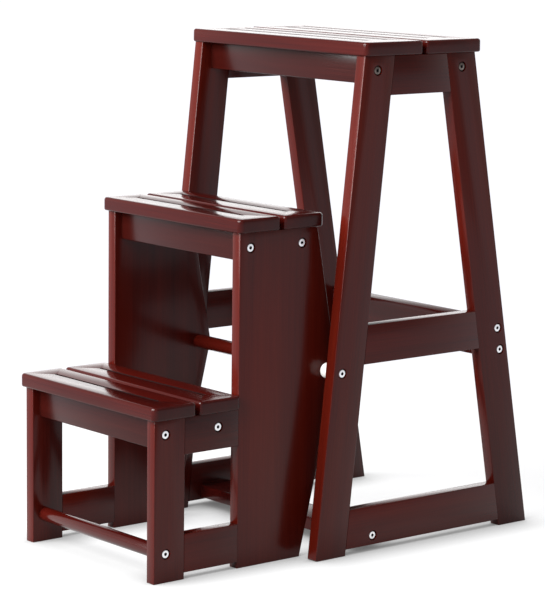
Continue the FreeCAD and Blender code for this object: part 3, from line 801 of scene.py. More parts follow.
def dress(piece: bpy.types.Object, material: bpy.types.Material, body: str, slot: str,
          *nodes: str) -> None:
    """Finish a piece: its material, the body it rides on, and the frame nodes it stands for.

    Args:
        piece: The finished piece.
        material: Its finish.
        body: Body that it moves with.
        slot: Name of a material slot; not used.
        nodes: Frame nodes that it replaces.
    """
    piece.data.materials.clear()
    piece.data.materials.append(material)
    soften(piece)
    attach(piece, body)
    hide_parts(*nodes)
    LOG.info("%s: %d faces on %s", piece.name, len(piece.data.polygons), body)


def close_to(first: float, second: float) -> bool:
    """Whether two lengths are the same within a hair."""
    return abs(first - second) < NEAR


def middle_of(edge: bmesh.types.BMEdge) -> Vector:
    """Middle point of an edge."""
    return (edge.verts[0].co + edge.verts[1].co) / 2


# ---------------------------------------------------------------------------------------------------
# Flat-sided pieces of the side frames and panels
# ---------------------------------------------------------------------------------------------------
@dataclass
class Slab:
    """Piece sawn to a four-cornered outline out of a board that stands on edge."""

    name: str
    outline: tuple[Point, Point, Point, Point]
    low_x: float
    high_x: float
    waist: Point | None = None
    toe: float = 0.0
    arris: float = 1.0 * MM
    end_arris: float = 0.2 * MM
    long_edge: float = 60 * MM

    def build(self) -> bpy.types.Object:
        """Saw, shape and ease the piece.

        Returns:
            The piece, before it is drilled.
        """
        fronts = [point[0] for point in self.outline]
        highs = [point[1] for point in self.outline]
        low = (self.low_x, min(fronts), min(highs))
        high = (self.high_x, max(fronts), max(highs))
        if self.waist:
            high = (self.high_x, self.waist[0], high[2])
        piece = block(self.name, low, high)
        corners = ((low[1], low[2]), (high[1], low[2]), (high[1], high[2]), (low[1], high[2]))
        with Editing(piece) as editing:
            if self.waist:
                self._saw_waist(self.waist[1])
            for start, end in zip(corners, self.outline):
                self._move_corner(editing, start, end)
            if self.toe:
                self._cut_toe(editing)
            editing.pick(Part.EDGE, self._is_long).round_off(self.arris, 3)
            editing.pick_sharp().round_off(self.end_arris, 2)
        return piece

    def _saw_waist(self, high: float) -> None:
        """Add a row of corners at a height."""
        bpy.ops.mesh.select_all(action="SELECT")
        bpy.ops.mesh.bisect(plane_co=(0, 0, high), plane_no=(0, 0, 1), use_fill=False)

    def _move_corner(self, editing: Editing, start: Point, end: Point) -> None:
        """Bring one corner of the blank to its place on the outline.

        Args:
            editing: The open piece.
            start: Where the corner is.
            end: Where it goes.
        """
        if close_to(start[0], end[0]) and close_to(start[1], end[1]):
            return
        editing.pick(Part.VERT, lambda vert: close_to(vert.co.y, start[0])
                     and close_to(vert.co.z, start[1]))
        editing.shift((0.0, end[0] - start[0], end[1] - start[1]))

    def _cut_toe(self, editing: Editing) -> None:
        """Round the toe where the front edge meets the floor.

        Args:
            editing: The open piece.
        """
        foot = self.outline[0]
        editing.pick(Part.EDGE, lambda edge: close_to(middle_of(edge).y, foot[0])
                     and close_to(middle_of(edge).z, foot[1]))
        editing.round_off(self.toe, 3)

    def _is_long(self, edge: bmesh.types.BMEdge) -> bool:
        """Whether an edge is a long arris of one face of the board."""
        flat = close_to(edge.verts[0].co.x, edge.verts[1].co.x)
        return flat and edge.calc_length() > self.long_edge


@dataclass(frozen=True)
class BoltHole:
    """Bolt holes with the counterbores that their heads sit in."""

    bolt_wide: float = 6 * MM
    head_room: float = 13 * MM
    head_sink: float = PLAN.head_sink

    def drill(self, piece: bpy.types.Object, side: Side, face: float, spots: Sequence[Point],
              through: float, wide: float | None = None) -> None:
        """Drill from the outer face right through.

        Args:
            piece: The side piece.
            side: Side of the ladder.
            face: Distance of the outer face from the middle of the ladder.
            spots: Places of the holes on the face.
            through: Thickness of the piece.
            wide: Diameter, if it isn't a frame bolt's.
        """
        inward = (-side.value, 0.0, 0.0)
        for back, high in spots:
            mouth = (face * side.value, back, high)
            drill(piece, mouth, inward, self.head_room, self.head_sink)
            drill(piece, mouth, inward, wide or self.bolt_wide, through + OVERRUN)


@dataclass
class SideFrame:
    """One side of the stool: two slanted legs with three rails between them."""

    side: Side
    finishes: Finishes
    outer: float = PLAN.frame_half
    thick: float = PLAN.frame_thick
    toe: float = 3 * MM
    pivot_hole: float = 8.1 * MM
    holes: BoltHole = field(default_factory=BoltHole)

    def span(self) -> Point:
        """Lowest and highest X of the side."""
        inner = self.outer - self.thick
        return (inner, self.outer) if self.side is Side.RIGHT else (-self.outer, -inner)

    def finish(self, piece: bpy.types.Object, grain: Grain, node: str) -> None:
        """Dress one wooden piece of the side."""
        wood = self.finishes.wood(self.finishes.frame_wood, grain)
        dress(piece, wood, STOOL, "lacquered_wood", node)

    def build(self) -> None:
        """Make the legs and rails."""
        self.front_leg()
        self.rear_leg()
        for rail in ("top_rail", "middle_rail", "bottom_rail"):
            self.rail(rail)

    def front_leg(self) -> None:
        """Leg that carries the hinge, with its toe rounded."""
        node = f"{self.side.word}_front_leg"
        top = PLAN.leg_tall
        wide = PLAN.leg_wide
        foot_front, top_front = PLAN.front_edge(0), PLAN.front_edge(top)
        leg = Slab(f"{node}_wood", ((foot_front, 0.0), (foot_front + wide, 0.0),
                                    (top_front + wide, top), (top_front, top)),
                   *self.span(), toe=self.toe).build()
        spots = [(PLAN.seat_aprons[0], PLAN.seat_bolt_high)]
        self.holes.drill(leg, self.side, self.outer, spots, self.thick)
        self.holes.drill(leg, self.side, self.outer, [PLAN.hinge], self.thick, self.pivot_hole)
        self.finish(leg, Grain.FRONT_LEG, node)

    def rear_leg(self) -> None:
        """Leg that leans forward and takes the cross rail's two bolts."""
        node = f"{self.side.word}_rear_leg"
        top = PLAN.leg_tall
        wide = PLAN.leg_wide
        foot_rear, top_rear = PLAN.rear_edge(0), PLAN.rear_edge(top)
        leg = Slab(f"{node}_wood", ((foot_rear - wide, 0.0), (foot_rear, 0.0), (top_rear, top),
                                    (top_rear - wide, top)), *self.span()).build()
        spots = [(PLAN.seat_aprons[1], PLAN.seat_bolt_high)]
        spots += [PLAN.on_cross_rail(PLAN.cross_bolt_half * level) for level in (-1, 1)]
        self.holes.drill(leg, self.side, self.outer, spots, self.thick)
        self.finish(leg, Grain.REAR_LEG, node)

    def rail(self, which: str) -> None:
        """Rail between the two legs, cut to their slants.

        Args:
            which: Name of the rail.
        """
        node = f"{self.side.word}_{which}"
        low, high = (corner.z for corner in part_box(node))
        outline = ((PLAN.front_edge(low) + PLAN.leg_wide, low),
                   (PLAN.rear_edge(low) - PLAN.leg_wide, low),
                   (PLAN.rear_edge(high) - PLAN.leg_wide, high),
                   (PLAN.front_edge(high) + PLAN.leg_wide, high))
        rail = Slab(f"{node}_wood", outline, *self.span()).build()
        if which == "bottom_rail":
            self.holes.drill(rail, self.side, self.outer, [PLAN.floor_bolt], self.thick)
        self.finish(rail, Grain.DEEP, node)


@dataclass
class StepPanel:
    """One side of the step unit: kite-shaped panel, front post and the two rails round the window."""

    side: Side
    finishes: Finishes
    outer: float = PLAN.panel_half
    thick: float = PLAN.panel_thick
    front: float = -165 * MM
    foot_rear: float = -65.5 * MM
    peak: Point = (-8.5 * MM, 232 * MM)
    top_rear: float = -43 * MM
    top: float = 414.5 * MM
    pivot_hole: float = 8 * MM
    holes: BoltHole = field(default_factory=BoltHole)

    def span(self) -> Point:
        """Lowest and highest X of the side."""
        inner = self.outer - self.thick
        return (inner, self.outer) if self.side is Side.RIGHT else (-self.outer, -inner)

    def finish(self, piece: bpy.types.Object, grain: Grain, node: str) -> None:
        """Dress one wooden piece of the side."""
        wood = self.finishes.wood(self.finishes.frame_wood, grain)
        dress(piece, wood, STEPS, "lacquered_wood", node)

    def build(self) -> None:
        """Make the panel, the post and the rails."""
        self.panel()
        self.post()
        for rail in ("upper_rail", "lower_rail"):
            self.rail(rail)

    def panel(self) -> None:
        """Tall panel that the step unit hangs on."""
        node = f"{self.side.word}_side_panel"
        panel = Slab(f"{node}_wood", ((self.front, 0.0), (self.foot_rear, 0.0),
                                      (self.top_rear, self.top), (self.front, self.top)),
                     *self.span(), waist=self.peak).build()
        spots = [(back, PLAN.middle_bolt_high) for back in PLAN.middle_aprons]
        self.holes.drill(panel, self.side, self.outer, spots, self.thick)
        face = (self.outer * self.side.value, *PLAN.hinge)
        drill(panel, face, (-self.side.value, 0.0, 0.0), self.pivot_hole, self.thick + OVERRUN)
        self.finish(panel, Grain.UPRIGHT, node)

    def upright_box(self, node: str) -> tuple[Point, Point, Point, Point]:
        """Rectangular outline of a node, from the frame."""
        low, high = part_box(node)
        return ((low.y, low.z), (high.y, low.z), (high.y, high.z), (low.y, high.z))

    def post(self) -> None:
        """Front post with the lower step's front bolt and the front rod's bolt."""
        node = f"{self.side.word}_front_post"
        post = Slab(f"{node}_wood", self.upright_box(node), *self.span()).build()
        spots = [(PLAN.lower_aprons[0], PLAN.lower_bolt_high), PLAN.front_rod]
        self.holes.drill(post, self.side, self.outer, spots, self.thick)
        self.finish(post, Grain.UPRIGHT, node)

    def rail(self, which: str) -> None:
        """Short rail between the post and the panel.

        Args:
            which: Name of the rail.
        """
        node = f"{self.side.word}_{which}"
        rail = Slab(f"{node}_wood", self.upright_box(node), *self.span()).build()
        if which == "upper_rail":
            spots = [(PLAN.lower_aprons[1], PLAN.lower_bolt_high)]
            self.holes.drill(rail, self.side, self.outer, spots, self.thick)
        self.finish(rail, Grain.DEEP, node)


# ---------------------------------------------------------------------------------------------------
# Treads
# ---------------------------------------------------------------------------------------------------
@dataclass
class TreadBoard:
    """One board of a tread: rounded all round, with stopped grip grooves in its top."""

    node: str
    grooves: int
    body: str
    finishes: Finishes
    outer_corner: float = 7 * MM
    inner_corner: float = 4 * MM
    top_round: float = 3.5 * MM
    under_round: float = 2.5 * MM
    groove_wide: float = 3.5 * MM
    groove_deep: float = 2.5 * MM
    groove_inset: float = 34 * MM
    groove_arris: float = 0.6 * MM
    groove_end: float = 0.98
    groove_bottom: float = 0.6
    rim_angle: float = math.radians(60)

    def build(self) -> None:
        """Shape the board, cut its grooves and dress it."""
        low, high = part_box(self.node)
        board = block(f"{self.node}_wood", low, high)
        outer = low.y if "_front_" in self.node else high.y
        with Editing(board) as editing:
            self.round_corners(editing, lambda edge: close_to(middle_of(edge).y, outer),
                               self.outer_corner, 7)
            inner = high.y if close_to(outer, low.y) else low.y
            self.round_corners(editing, lambda edge: close_to(middle_of(edge).y, inner),
                               self.inner_corner, 5)
            editing.rim(lambda face: close_to(face.calc_center_median().z, high.z))
            editing.round_off(self.top_round, 5)
            editing.rim(lambda face: close_to(face.calc_center_median().z, low.z))
            editing.round_off(self.under_round, 4)
        deep = high.y - low.y
        for number in range(self.grooves):
            back = low.y + deep * (number + 1) / (self.grooves + 1)
            self.cut_groove(board, low.x + self.groove_inset, high.x - self.groove_inset, back, high.z)
        self.ease_grooves(board, high.z)
        wood = self.finishes.wood(self.finishes.tread_wood, Grain.ACROSS)
        dress(board, wood, self.body, "lacquered_wood", self.node)
        self.line_grooves(board, low, high)

    def round_corners(self, editing: Editing, test: Test, radius: float, segments: int) -> None:
        """Round some of the upright edges.

        Args:
            editing: The open board.
            test: Says whether an upright edge is wanted.
            radius: Radius of the corner.
            segments: Number of flats round it.
        """
        editing.pick(Part.EDGE, lambda edge: test(edge)
                     and abs(edge.verts[0].co.z - edge.verts[1].co.z) > self.outer_corner)
        editing.round_off(radius, segments)

    def cut_groove(self, board: bpy.types.Object, start: float, end: float, back: float,
                   top: float) -> None:
        """Cut one groove with round ends and a rounded bottom.

        Args:
            board: The board.
            start: Lowest X of the groove.
            end: Highest X of the groove.
            back: Its middle line.
            top: Height of the board's top.
        """
        half = self.groove_wide / 2
        cutter = block("groove", (start, back - half, top - self.groove_deep),
                       (end, back + half, top + OVERRUN))
        with Editing(cutter) as editing:
            editing.pick(Part.EDGE, lambda edge: close_to(edge.verts[0].co.x, edge.verts[1].co.x)
                         and close_to(edge.verts[0].co.y, edge.verts[1].co.y))
            editing.round_off(half * self.groove_end, 6)
            editing.rim(lambda face: close_to(face.calc_center_median().z, top - self.groove_deep))
            editing.round_off(half * self.groove_bottom, 3)
        carve(board, cutter)

    def line_grooves(self, board: bpy.types.Object, low: Vector, high: Vector) -> None:
        """Paint shade into the insides of the grooves with a near-black finish.

        Args:
            board: The dressed board.
            low: Lowest corner of the board.
            high: Highest corner of the board.
        """
        # The second material paints shade into the grooves.
        board.data.materials.append(self.finishes.wood(self.finishes.groove_wood, Grain.ACROSS))
        clear = self.outer_corner

        def inside(face: bmesh.types.BMFace) -> bool:
            """Whether a face lies in a groove."""
            middle = face.calc_center_median()
            under = -self.groove_deep - NEAR < middle.z - high.z < -NEAR
            return (under and low.x + clear < middle.x < high.x - clear
                    and low.y + clear < middle.y < high.y - clear)

        with Editing(board) as editing:
            editing.assign_second_finish(inside)

    def ease_grooves(self, board: bpy.types.Object, top: float) -> None:
        """Take the sharpness off the rims of the grooves.

        Args:
            board: The board.
            top: Height of its top.
        """
        with Editing(board) as editing:
            editing.pick(Part.EDGE, lambda edge: close_to(edge.verts[0].co.z, top)
                         and close_to(edge.verts[1].co.z, top)
                         and any(face.normal.z < 0.5 for face in edge.link_faces)
                         and edge.calc_face_angle(0.0) > self.rim_angle)
            editing.round_off(self.groove_arris, 2)


# ---------------------------------------------------------------------------------------------------
# Cross members
# ---------------------------------------------------------------------------------------------------
@dataclass
class CrossMember:
    """Board that lies across the ladder between the two sides."""

    node: str
    body: str
    finishes: Finishes
    arris: float = 1.2 * MM
    end_arris: float = 0.5 * MM
    nut_hole: float = 10.1 * MM
    nut_deep: float = 13 * MM
    long_edge: float = 60 * MM
    glossy: bool = False

    def ease(self, piece: bpy.types.Object) -> None:
        """Ease the long edges, then the ends.

        Args:
            piece: The member.
        """
        with Editing(piece) as editing:
            editing.pick(Part.EDGE, lambda edge: edge.calc_length() > self.long_edge)
            editing.round_off(self.arris, 3)
            editing.pick_sharp().round_off(self.end_arris, 2)

    def finish(self, piece: bpy.types.Object) -> None:
        """Dress the member.

        Args:
            piece: The finished member.
        """
        # Members without the tread finish take the aprons' darker copy, which paints the shade under the
        # treads.
        stain_and_shade = self.finishes.tread_wood if self.glossy else self.finishes.apron_wood
        wood = self.finishes.wood(stain_and_shade, Grain.ACROSS)
        dress(piece, wood, self.body, "lacquered_wood", self.node)


@dataclass
class Apron(CrossMember):
    """Board on edge under a tread, with nut holes in its back and screw pockets underneath."""

    bolt_high: float = 0.0
    pocket_wide: float = 8.6 * MM
    pocket_out: float = 75 * MM
    screw_hold: float = 21 * MM

    def build(self) -> None:
        """Make and dress the apron."""
        low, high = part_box(self.node)
        apron = block(f"{self.node}_wood", low, high)
        self.ease(apron)
        middle = (low.y + high.y) / 2
        pocket = high.z - low.z - self.screw_hold
        for side in Side:
            nut = (side.value * (high.x - PLAN.nut_inset), high.y, self.bolt_high)
            drill(apron, nut, (0.0, -1.0, 0.0), self.nut_hole, self.nut_deep)
            drill(apron, (side.value * self.pocket_out, middle, low.z), (0.0, 0.0, 1.0),
                  self.pocket_wide, pocket)
        self.finish(apron)


@dataclass
class RearCrossRail(CrossMember):
    """Rail between the rear legs that leans with them; two nuts show in its front at each end."""

    thick: float = PLAN.apron_thick
    tall: float = 52 * MM

    def build(self) -> None:
        """Make the rail leaning with the legs, then drill and dress it."""
        low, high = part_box(self.node)
        back, level = PLAN.cross_rail
        rail = block(f"{self.node}_wood", (low.x, back - self.thick / 2, level - self.tall / 2),
                     (high.x, back + self.thick / 2, level + self.tall / 2))
        self.ease(rail)
        with Editing(rail):
            bpy.ops.mesh.select_all(action="SELECT")
            middle = (0.0, *PLAN.cross_rail)
            bpy.ops.transform.rotate(value=-PLAN.rear_angle(), orient_axis="X", center_override=middle)
        out = Vector((0.0, math.cos(PLAN.rear_angle()), math.sin(PLAN.rear_angle())))
        for side in Side:
            for level in (-1, 1):
                mouth = (side.value * (high.x - PLAN.nut_inset),
                         *PLAN.on_cross_rail(PLAN.cross_bolt_half * level, -self.thick / 2))
                drill(rail, mouth, out, self.nut_hole, self.nut_deep)
        self.finish(rail)


@dataclass
class FloorBoard(CrossMember):
    """Flat board low between the front legs; its nuts show underneath."""

    def build(self) -> None:
        """Make and dress the board."""
        low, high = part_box(self.node)
        board = block(f"{self.node}_wood", low, high)
        self.ease(board)
        for side in Side:
            mouth = (side.value * (high.x - PLAN.nut_inset), PLAN.floor_bolt[0], low.z)
            drill(board, mouth, (0.0, 0.0, 1.0), self.nut_hole, self.nut_deep)
        self.finish(board)


@dataclass
class RoundRod:
    """Turned rod between the two side panels, bored at each end for its threaded insert."""

    node: str
    spot: Point
    finishes: Finishes
    end_bore: float
    bore_deep: float
    wide: float = 18 * MM
    end_arris: float = 0.8 * MM
    corners: int = 64

    def build(self) -> None:
        """Make and dress the rod."""
        low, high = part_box(self.node)
        rod = round_bar(f"{self.node}_wood", (0.0, *self.spot), LIE_ACROSS, self.wide, high.x - low.x,
                        self.corners)
        with Editing(rod) as editing:
            editing.pick_sharp().round_off(self.end_arris, 3)
        for side in Side:
            drill(rod, (side.value * high.x, *self.spot), (-side.value, 0.0, 0.0), self.end_bore,
                  self.bore_deep)
        wood = self.finishes.wood(self.finishes.rod_wood, Grain.ACROSS)
        dress(rod, wood, STEPS, "lacquered_wood", self.node)


# ---------------------------------------------------------------------------------------------------
# Bolts, nuts and spacers
# ---------------------------------------------------------------------------------------------------
@dataclass(frozen=True)
class ApronPlace:
    """One apron: its place, and the bolts and nuts that it shares with others."""

    name: str
    middle: float
    bolt_high: float
    body: str
    owner: str


APRON_PLACES = tuple(
    ApronPlace(f"{tread}_{which}_apron", middle, bolt_high, body, owner)
    for tread, middles, bolt_high, body, owner in (
        ("seat", PLAN.seat_aprons, PLAN.seat_bolt_high, STOOL, "seat"),
        ("middle", PLAN.middle_aprons, PLAN.middle_bolt_high, STEPS, "step"),
        ("lower", PLAN.lower_aprons, PLAN.lower_bolt_high, STEPS, "step"))
    for which, middle in zip(("front", "rear"), middles))


@dataclass
class SocketBolt:
    """Flat-headed bolt with a hex socket, modelled with its seat at the origin and its head along +X."""

    wide: float
    long: float
    head_wide: float
    head_tall: float = 2.5 * MM
    hex_wide: float = 4 * MM
    hex_deep: float = 3 * MM
    slack: float = 0.1 * MM
    face_round: float = 0.6 * MM
    under_round: float = 0.25 * MM
    hex_reach: float = 0.6
    tip_part: float = 0.25
    tip_narrow: float = 0.7

    def model(self) -> bpy.types.Object:
        """Turn the head and shank, and sink the socket.

        Returns:
            The pattern that copies are made from.
        """
        bolt = round_bar("bolt_pattern", (self.head_tall / 2, 0.0, 0.0), LIE_ACROSS, self.head_wide,
                         self.head_tall, 48)
        with Editing(bolt) as editing:
            editing.rim(lambda face: face.normal.x > ALONG).round_off(self.face_round, 4)
            editing.rim(lambda face: face.normal.x < -ALONG).round_off(self.under_round, 2)
            editing.pick(Part.FACE, lambda face: face.normal.x < -ALONG)
            ledge = (self.head_wide - self.wide) / 2
            bpy.ops.mesh.inset(thickness=ledge - self.under_round + self.slack)
            tip_long = self.wide * self.tip_part
            for step in (self.long - tip_long, tip_long):
                bpy.ops.mesh.extrude_region_move(TRANSFORM_OT_translate={"value": (-step, 0.0, 0.0)})
            bpy.ops.transform.resize(value=(1.0, self.tip_narrow, self.tip_narrow),
                                     center_override=(-self.long, 0.0, 0.0))
        mouth = (self.head_tall, 0.0, 0.0)
        corner_wide = self.hex_wide * 2 / math.sqrt(3)
        drill(bolt, mouth, (-1.0, 0.0, 0.0), corner_wide, self.hex_deep, 6)
        return bolt

    @staticmethod
    def line_socket(bolt: bpy.types.Object, seat: Vector, outward: float, reach: float,
                    socket_shade: bpy.types.Material) -> None:
        """Paint shade into the inside of a placed bolt's socket.

        Args:
            bolt: The placed bolt.
            seat: Middle of the head's underside.
            outward: 1 where the head faces +X, and -1 where it faces -X.
            reach: Height of the head.
            socket_shade: Near-black finish that paints the socket's shade.
        """
        bolt.data.materials.append(socket_shade)

        def inside(face: bmesh.types.BMFace) -> bool:
            """Whether a face lies in the socket."""
            middle = face.calc_center_median() - seat
            narrow = math.hypot(middle.y, middle.z) < SocketBolt.hex_wide * SocketBolt.hex_reach
            deep = -SocketBolt.hex_deep - NEAR < middle.x * outward - reach < -NEAR
            return narrow and deep

        with Editing(bolt) as editing:
            editing.assign_second_finish(inside)


@dataclass
class BarrelNut:
    """Round cross nut with a driver slot, modelled with its outer face at the origin facing +Y."""

    wide: float = 10 * MM
    long: float = 13 * MM
    bolt_wide: float = 6 * MM
    bolt_deep: float = 7.5 * MM
    slot_wide: float = 1.4 * MM
    slot_deep: float = 1.4 * MM
    rim_round: float = 0.5 * MM

    def model(self) -> bpy.types.Object:
        """Turn the barrel, tap it across and slot its face.

        Returns:
            The pattern that copies are made from.
        """
        nut = round_bar("nut_pattern", (0.0, -self.long / 2, 0.0), LIE_DEEP, self.wide, self.long, 40)
        with Editing(nut) as editing:
            editing.pick_sharp().round_off(self.rim_round, 2)
        drill(nut, (self.wide, -self.bolt_deep, 0.0), (-1.0, 0.0, 0.0), self.bolt_wide, self.wide * 2)
        carve(nut, block("slot", (-self.wide, -self.slot_deep, -self.slot_wide / 2),
                         (self.wide, OVERRUN, self.slot_wide / 2)))
        return nut


@dataclass
class Hardware:
    """All bolts, barrel nuts and hinge spacers."""

    finishes: Finishes
    stool_seat: float = PLAN.frame_half - PLAN.head_sink
    step_seat: float = PLAN.panel_half - PLAN.head_sink
    stool_nut: float = PLAN.frame_half - PLAN.frame_thick - PLAN.nut_inset
    step_nut: float = PLAN.panel_half - PLAN.panel_thick - PLAN.nut_inset
    pivot_shake: float = 0.25 * MM
    nut_out: float = PLAN.apron_thick / 2
    floor_board_under: float = 11.5 * MM
    head_wide: float = 10 * MM
    spacer_wide: float = 20 * MM
    spacer_bore: float = 8.2 * MM
    spacer_round: float = 4.5 * MM
    spacer_edge: float = 1.0 * MM

    def build(self) -> None:
        """Place every bolt, nut and spacer."""
        bolt = SocketBolt(wide=6 * MM, long=45 * MM, head_wide=self.head_wide).model()
        pivot = SocketBolt(wide=8 * MM, long=67 * MM, head_wide=self.head_wide).model()
        nut = BarrelNut().model()
        self.apron_hardware(bolt, nut)
        self.cross_rail_hardware(bolt, nut)
        self.floor_board_hardware(bolt, nut)
        for side in Side:
            self.bolt(bolt, side, self.step_seat, PLAN.front_rod, "front_rod", STEPS,
                      "front_rod_bolts")
            name = f"{side.word}_pivot_bolt"
            seat = self.stool_seat + self.pivot_shake
            self.bolt(pivot, side, seat, PLAN.hinge, "pivot", STEPS, name)
            self.spacer(side)
        for pattern in (bolt, pivot, nut):
            bpy.data.objects.remove(pattern, do_unlink=True)

    def bolt(self, pattern: bpy.types.Object, side: Side, seat: float, spot: Point, word: str,
             body: str, node: str) -> None:
        """Copy one bolt to its hole.

        Args:
            pattern: The bolt that is modelled once.
            side: Side that it is driven from.
            seat: Distance of the head's underside from the middle of the ladder.
            spot: Its place on the side.
            word: What it holds, for its name.
            body: Body that it moves with.
            node: Frame node that it stands for.
        """
        turn = (0.0, 0.0, 0.0 if side is Side.RIGHT else math.pi)
        place = Vector((seat * side.value, *spot))
        piece = copy_piece(pattern, f"{word}_{side.word}_bolt_steel", turn, place)
        # The seat bolts get the darkened plating that paints their shade and dark reflection.
        plating = self.finishes.seat_bolt if word.startswith("seat") else self.finishes.bolt
        dress(piece, plating, body, "bolt_steel", node)
        SocketBolt.line_socket(piece, place, side.value, SocketBolt.head_tall, self.finishes.socket)

    def nut(self, pattern: bpy.types.Object, turn: Sequence[float], place: Sequence[float],
            name: str, body: str, node: str) -> None:
        """Copy one barrel nut to its hole.

        Args:
            pattern: The nut that is modelled once.
            turn: Rotation that brings its outer face where it belongs.
            place: Middle of its outer face.
            name: Name of the piece.
            body: Body that it moves with.
            node: Frame node that it stands for.
        """
        piece = copy_piece(pattern, name, turn, place)
        dress(piece, self.finishes.hidden, body, "hidden_steel", node)

    def apron_hardware(self, bolt: bpy.types.Object, nut: bpy.types.Object) -> None:
        """Bolts and nuts of the six aprons.

        Args:
            bolt: The bolt that is modelled once.
            nut: The nut that is modelled once.
        """
        for apron in APRON_PLACES:
            seat, out = ((self.stool_seat, self.stool_nut) if apron.body == STOOL
                         else (self.step_seat, self.step_nut))
            for side in Side:
                self.bolt(bolt, side, seat, (apron.middle, apron.bolt_high), apron.name, apron.body,
                          f"{apron.owner}_apron_bolts")
                place = (side.value * out, apron.middle + self.nut_out, apron.bolt_high)
                self.nut(nut, NO_TURN, place, f"{apron.name}_{side.word}_nut_steel", apron.body,
                         f"{apron.owner}_apron_nuts")

    def cross_rail_hardware(self, bolt: bpy.types.Object, nut: bpy.types.Object) -> None:
        """Two bolts and two nuts at each end of the rear cross rail.

        Args:
            bolt: The bolt that is modelled once.
            nut: The nut that is modelled once.
        """
        facing_front = Matrix.Rotation(math.pi, 3, "Z")
        turn = (Matrix.Rotation(PLAN.rear_angle(), 3, "X") @ facing_front).to_euler()
        for side in Side:
            for word, level in (("low", -1), ("high", 1)):
                along = PLAN.cross_bolt_half * level
                self.bolt(bolt, side, self.stool_seat, PLAN.on_cross_rail(along),
                          f"cross_rail_{word}", STOOL, "cross_rail_bolts")
                place = (side.value * self.stool_nut, *PLAN.on_cross_rail(along, -self.nut_out))
                self.nut(nut, turn, place, f"cross_rail_{word}_{side.word}_nut_steel", STOOL,
                         "cross_rail_nuts")

    def floor_board_hardware(self, bolt: bpy.types.Object, nut: bpy.types.Object) -> None:
        """One bolt and one upright nut at each end of the floor cross board.

        Args:
            bolt: The bolt that is modelled once.
            nut: The nut that is modelled once.
        """
        for side in Side:
            self.bolt(bolt, side, self.stool_seat, PLAN.floor_bolt, "floor_board", STOOL,
                      "floor_board_bolts")
            place = (side.value * self.stool_nut, PLAN.floor_bolt[0], self.floor_board_under)
            self.nut(nut, LIE_DEEP, place, f"floor_board_{side.word}_nut_steel", STOOL,
                     "floor_board_nuts")

    def spacer(self, side: Side) -> None:
        """Nylon sleeve between the leg and the panel, on the pivot bolt.

        Args:
            side: Side of the ladder.
        """
        node = f"{side.word}_pivot_spacer"
        low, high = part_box(node)
        middle = ((low.x + high.x) / 2, *PLAN.hinge)
        sleeve = round_bar(f"{node}_nylon", middle, LIE_ACROSS, self.spacer_wide, high.x - low.x, 64)
        with Editing(sleeve) as editing:
            inner_end = -side.value
            editing.rim(lambda face: face.normal.x * inner_end > ALONG)
            editing.round_off(self.spacer_round, 6)
            editing.pick_sharp().round_off(self.spacer_edge, 3)
        drill(sleeve, (high.x, *PLAN.hinge), (-1.0, 0.0, 0.0), self.spacer_bore,
              high.x - low.x + OVERRUN)
        dress(sleeve, self.finishes.nylon, STEPS, "nylon", node)


@dataclass
class KeptNodes:
    """Frame nodes that keep their own shape and are only dressed."""

    finishes: Finishes
    dowel_words: tuple[str, ...] = ("_dowels",)
    steel_words: tuple[str, ...] = ("_inserts", "_screws")

    def dress(self) -> None:
        """Give each kept node its finish."""
        for name, node in sorted(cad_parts.items()):
            if name.endswith(self.dowel_words):
                self.cover(node, self.finishes.dowel)
            elif name.endswith(self.steel_words):
                self.cover(node, self.finishes.hidden)

    def cover(self, node: bpy.types.Object, material: bpy.types.Material) -> None:
        """Put one finish on a node's material slots.

        Args:
            node: The frame node.
            material: Its finish.
        """
        if not node.material_slots:
            node.data.materials.append(material)
        for place in node.material_slots:
            place.material = material
        LOG.info("%s keeps its frame shape", node.name)


